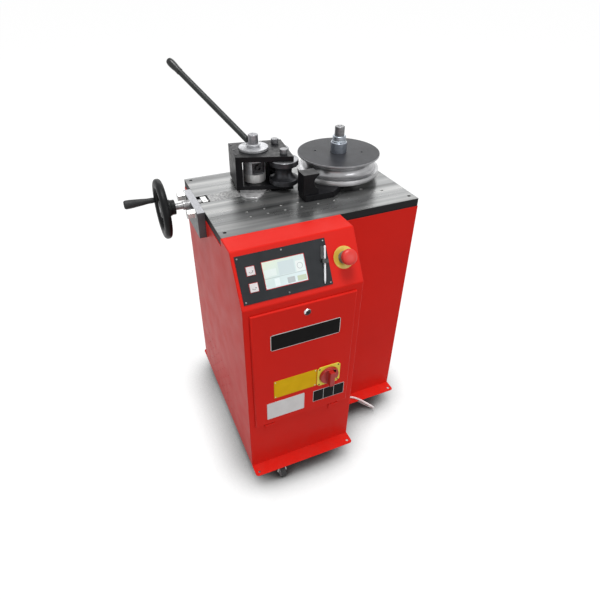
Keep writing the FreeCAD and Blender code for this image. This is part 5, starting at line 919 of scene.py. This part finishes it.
# The screen is glass over a lit panel; what it shows is drawn as plain fields. The keys are square caps
# with a bent mark moulded in.
screen_mix = Finish("screen_glass")
over_x = screen_mix.span(screen_mix.reach((1, 0, 0)), screen_left, screen_right)
over_y = screen_mix.span(screen_mix.reach(slope_down, slope_crest @ slope_down), screen_top, screen_foot)
shown = screen_mix.tones(screen_mix.blend((over_x, 0.5), (over_y, 0.5)), (0.1, (198, 210, 190)),
                         (0.45, (184, 202, 200)), (0.9, (196, 212, 216)))
for left, right, top, foot, colour in (
        (0.36, 0.74, 0.1, 0.6, (176, 192, 194)), (0.03, 0.3, 0.3, 0.56, (200, 212, 208)),
        (0.0, 1.0, 0.62, 0.635, (140, 152, 154)), (0.22, 0.34, 0.68, 0.95, (206, 218, 218)),
        (0.52, 0.7, 0.74, 0.96, (150, 158, 160)), (0.76, 0.98, 0.76, 0.96, (166, 180, 150)),
        (0.77, 0.97, 0.2, 0.6, (206, 214, 212))):
    field = screen_mix.calc("MULTIPLY", screen_mix.inside(over_x, left, right, 0.004),
                            screen_mix.inside(over_y, top, foot, 0.006))
    shown = screen_mix.over(field, shown, dye(*colour))
dial_x = screen_mix.calc("MULTIPLY", screen_mix.calc("SUBTRACT", over_x, 0.87), screen_right - screen_left)
dial_y = screen_mix.calc("MULTIPLY", screen_mix.calc("SUBTRACT", over_y, 0.4), screen_foot - screen_top)
dial = screen_mix.long_side(dial_x, dial_y)
shown = screen_mix.over(screen_mix.inside(dial, 8.2, 9.2, 0.2), shown, dye(96, 108, 116))
painted(screen_mix.done(shown, 0.14), "display_screen")
for node, key_down in key_downs.items():
    key_mix = Finish(node + "_cap", Specular_IOR_Level=0.45)
    aside = key_mix.reach((1, 0, 0), key_x)
    below = key_mix.reach(slope_down, slope_crest @ slope_down + key_down)
    apart = key_mix.long_side(aside, below)
    bow = key_mix.calc("MULTIPLY", key_mix.inside(apart, 5.2, 6.6, 0.15), key_mix.span(below, 1.2, 1.6))
    head = key_mix.calc("MULTIPLY", key_mix.inside(aside, 3.6, 7.6, 0.15),
                        key_mix.inside(below, -0.6, 1.6, 0.15))
    mark = key_mix.calc("MULTIPLY", key_mix.calc("MAXIMUM", bow, head), 0.85)
    cap = eased_copy(node + "_skin", node, 1.2, key_mix.done(
        key_mix.over(mark, key_mix.tones(key_mix.grain(20), (0.3, (206, 201, 202)), (0.7, (216, 211, 212))),
                     dye(58, 60, 64)), 0.36, key_mix.relief(key_mix.grain(0.6), 0.01)))

# Emergency stop
# A yellow plate, a ribbed collar, and a moulded red mushroom head on its plunger; the contact block
# behind the sheet is grey.
stop_foot = on_slope(-1, 88)
stop_yellow = moulded("stop_yellow", (206, 176, 66), (220, 190, 80), 0.4)
collar_mix = Finish("ribbed_collar", Specular_IOR_Level=0.45)
collar_mix.lathe(stop_foot, slope_out)
# The collar's tone follows its ribs, pale on the crests and dark in the valleys: painted light and shade.
ribs_round = collar_mix.calc("SINE", collar_mix.calc("MULTIPLY", collar_mix.turn, 30))
ribbed_painted_shade = collar_mix.done(collar_mix.tones(collar_mix.span(ribs_round, -0.4, 0.6), (0, (44, 43, 46)),
                                          (1, (150, 148, 150))), 0.35, collar_mix.relief(ribs_round, 0.5))
stop_base = eased_copy("stop_base_skin", "stop_button_base", 0.5, stop_yellow)


def off_slope(x, y, z):
    """How far places lie off the slanted face, and how far from the stop's axis."""
    apart = np.stack([x, y, z], -1) - stop_foot
    out = apart @ slope_out
    return out, np.linalg.norm(apart - out[:, None] * slope_out, axis=1)


dress(stop_base, ribbed_painted_shade, lambda x, y, z: off_slope(x, y, z)[0] > 1.7)
dress(stop_base, moulded("contact_grey", (120, 122, 124), (138, 140, 142), 0.5),
      lambda x, y, z: off_slope(x, y, z)[0] < -0.5)
stop_red = moulded("stop_red", (206, 50, 44), (220, 60, 52), 0.4, 0.015, 0.8, 0.4)
stop_head = turned("stop_head_skin", eased(
    [(0, -20), (7.9, -20), (7.9, 26), (17.5, 26), (24, 29.6), (25, 33), (25, 41), (22.4, 45.6), (17, 48.6),
     (9, 49.9), (0, 50)],
    [0, 0.6, 1, 1.5, 2, 2, 3, 3, 3, 4, 0]), stop_foot, stop_red, slope_out, 96)
stands_for(stop_head, "stop_button_head")

# Door with its hinges and lock
# A folded tray with bevelled rims, hung at its lower edge; a chromed quarter-turn lock, drawn dark in
# the middle of its face, keeps it shut.
door = eased_copy("door_skin", "door_panel", 1.6, red_paint,
                  lambda spots, lengths: (lengths > 20) & (spots[:, 2] > 297.5), 4)
hinges = eased_copy("hinges_skin", "door_hinges", 0.5, red_paint)
lock = eased_copy("lock_skin", "door_lock", 0.5, turned_steel("lock_chrome", (176, 178, 182), (238, 239, 241),
                                                             (-146, 0, 767), (0, 1, 0), (0.08, 0.16)))
# The middle of the lock's face is drawn dark.
dress(lock, screw_finish, lambda x, y, z: (np.hypot(x + 146, z - 767) < 6.3) & (y < -417))


# Door plates
# Four thin printed plates riveted and glued to the door, left bare: a black one with a silver edge, a
# yellow one, a white one, and a small black one with three cells.
def plate_print(name, ground, edge, left, right, low, high, thick, inset, cells=0):
    """Printed aluminium: a ground tone, an even line inside its edge, and upright bars between cells."""
    mix = Finish(name, Specular_IOR_Level=0.05)
    x, z = mix.reach((1, 0, 0)), mix.reach((0, 0, 1))
    line = frame_line(mix, x, z, left + inset + thick, right - inset - thick, low + inset + thick,
                      high - inset - thick, thick)
    for i in range(1, cells):
        middle = left + (right - left) * i / cells
        bar = mix.calc("MULTIPLY", mix.inside(x, middle - thick / 2, middle + thick / 2, 0.15),
                       mix.inside(z, low + inset, high - inset, 0.15))
        line = mix.calc("MAXIMUM", line, bar)
    lighter = [min(255, tone + 8) for tone in ground]
    bare_print = mix.tones(mix.grain(35, detail=4), (0.3, ground), (0.7, lighter))
    return mix.done(mix.over(line, bare_print, dye(*edge)),
                    mix.span(mix.grain(14), 0.3, 0.7, 0.28, 0.4), mix.relief(mix.grain(0.5), 0.006))


for name, ground, edge, (left, right, low, high), corner, thick, inset, cells in (
        ("name_plate", (10, 9, 9), (206, 206, 204), (-270, -26, 645, 710), 7, 2.2, 0.0, 0),
        ("yellow_plate", (218, 172, 12), (200, 152, 10), (-261, -103, 424, 504), 2, 0.8, 1.5, 0),
        ("white_plate", (214, 212, 212), (176, 174, 174), (-288, -147, 325, 405), 2, 0.6, 1.2, 0),
        ("cell_plate", (10, 8, 8), (196, 196, 196), (-113, 10, 342, 397), 2, 1.6, 0.0, 3)):
    label = slab(name, right - left, high - low, corner, [(0, 0), (0, 0.55), (0.25, 0.8), (1.2, 0.8)],
                 ((left + right) / 2, -420, (low + high) / 2), np.array([(1, 0, 0), (0, 0, 1), (0, -1, 0)]),
                 plate_print(name + "_print", ground, edge, left, right, low, high, thick, inset, cells))
    stands_for(label, "blank_plates")
rivets = skin("plate_rivets", [turned_grid([(0, 0), (2.1, 0), (2.1, 0.3), (1.6, 0.75), (0.8, 0.95), (0, 1)],
                                           (x, -420.75, z), (0, -1, 0), 24)
                               for x in (-256, -108) for z in (429, 499)], zinc)
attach(rivets, "door")

# Main switch
# A yellow plate with nipped corners, the switch's grey case behind the door, and a dark red rotary knob
# with a bar to grip it by and a yellow dot.
switch_x, switch_z = -57, 463
switch_yellow = moulded("switch_yellow", (222, 208, 52), (234, 220, 66), 0.36)
switch = eased_copy("switch_plate_skin", "switch_plate", 0.9, switch_yellow)
dress(switch, moulded("case_grey", (70, 72, 75), (84, 86, 89), 0.5), lambda x, y, z: y > -419)
switch_screws = skin("switch_screws", [socket_head(3, 1, (switch_x + x, -422.9, switch_z + z), (0, -1, 0),
                                                   2.6, 0.8, 32)
                                       for x in (-36, 36) for z in (-36, 36)], screw_finish)
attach(switch_screws, "door")
knob_mix = Finish("knob_red", Specular_IOR_Level=0.4)
knob_x, knob_z = knob_mix.reach((1, 0, 0), switch_x), knob_mix.reach((0, 0, 1), switch_z)
dot_x, dot_z = knob_mix.calc("SUBTRACT", knob_x, 22), knob_mix.calc("ADD", knob_z, 19)
dot_radius = 3.4
pointer = knob_mix.inside(knob_mix.long_side(dot_x, dot_z), -1, dot_radius)
knob_turn = knob_mix.calc("MULTIPLY", knob_mix.calc("SINE", knob_mix.calc("MULTIPLY", knob_mix.calc(
    "ARCTAN2", knob_z, knob_x), 36)), knob_mix.span(knob_mix.reach((0, -1, 0)), 433, 434, 1, 0))
switch_knob = eased_copy("switch_knob_skin", "switch_knob", 1.4, knob_mix.done(
    knob_mix.over(pointer, knob_mix.tones(knob_mix.grain(24), (0.3, (158, 28, 24)), (0.7, (174, 34, 29))),
                  dye(226, 196, 58)), 0.36, knob_mix.relief(knob_turn, 0.35)), None, 4)

# Electrical panel
# A zinc mounting plate inside the column with a finned drive, three contactors, a transformer, a
# supply and a row of terminals.
electric = eased_copy("electric_skin", "electrical_panel", 0.8,
                      moulded("drive_grey", (58, 60, 64), (74, 76, 80), 0.45))
board_face = -244.5
dress(electric, zinc, lambda x, y, z: y > board_face)
dress(electric, moulded("contactor_case", (172, 172, 168), (190, 190, 186), 0.45),
      lambda x, y, z: (y < board_face) & (z > 630) & (x > -170))
dress(electric, moulded("transformer_iron", (112, 78, 52), (140, 98, 64), 0.55),
      lambda x, y, z: (y < board_face) & (z < 340) & (x < -200))
dress(electric, moulded("terminal_grey", (150, 160, 166), (172, 182, 188), 0.5),
      lambda x, y, z: (y < board_face) & (z < 330) & (x > -170))

# Castors
# Zinc-plated pressed forks; the wheels have a grey rubber tread on a nylon centre.
painted(zinc, "castor_mounts", "castor_fork_left", "castor_fork_right")
nylon = moulded("wheel_nylon", (120, 122, 124), (140, 142, 144), 0.45)
for node in ("castor_wheel_front_left", "castor_wheel_front_right", "castor_wheel_rear_left",
             "castor_wheel_rear_right"):
    low, high = (np.array(corner) * 1000 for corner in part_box(node))
    axle = (low + high) / 2
    tread = eased_copy(node + "_skin", node, 1.0, moulded(node + "_rubber", (30, 30, 32), (44, 44, 46), 0.6))
    dress(tread, nylon, lambda x, y, z: np.hypot(y - axle[1], z - axle[2]) < 17)
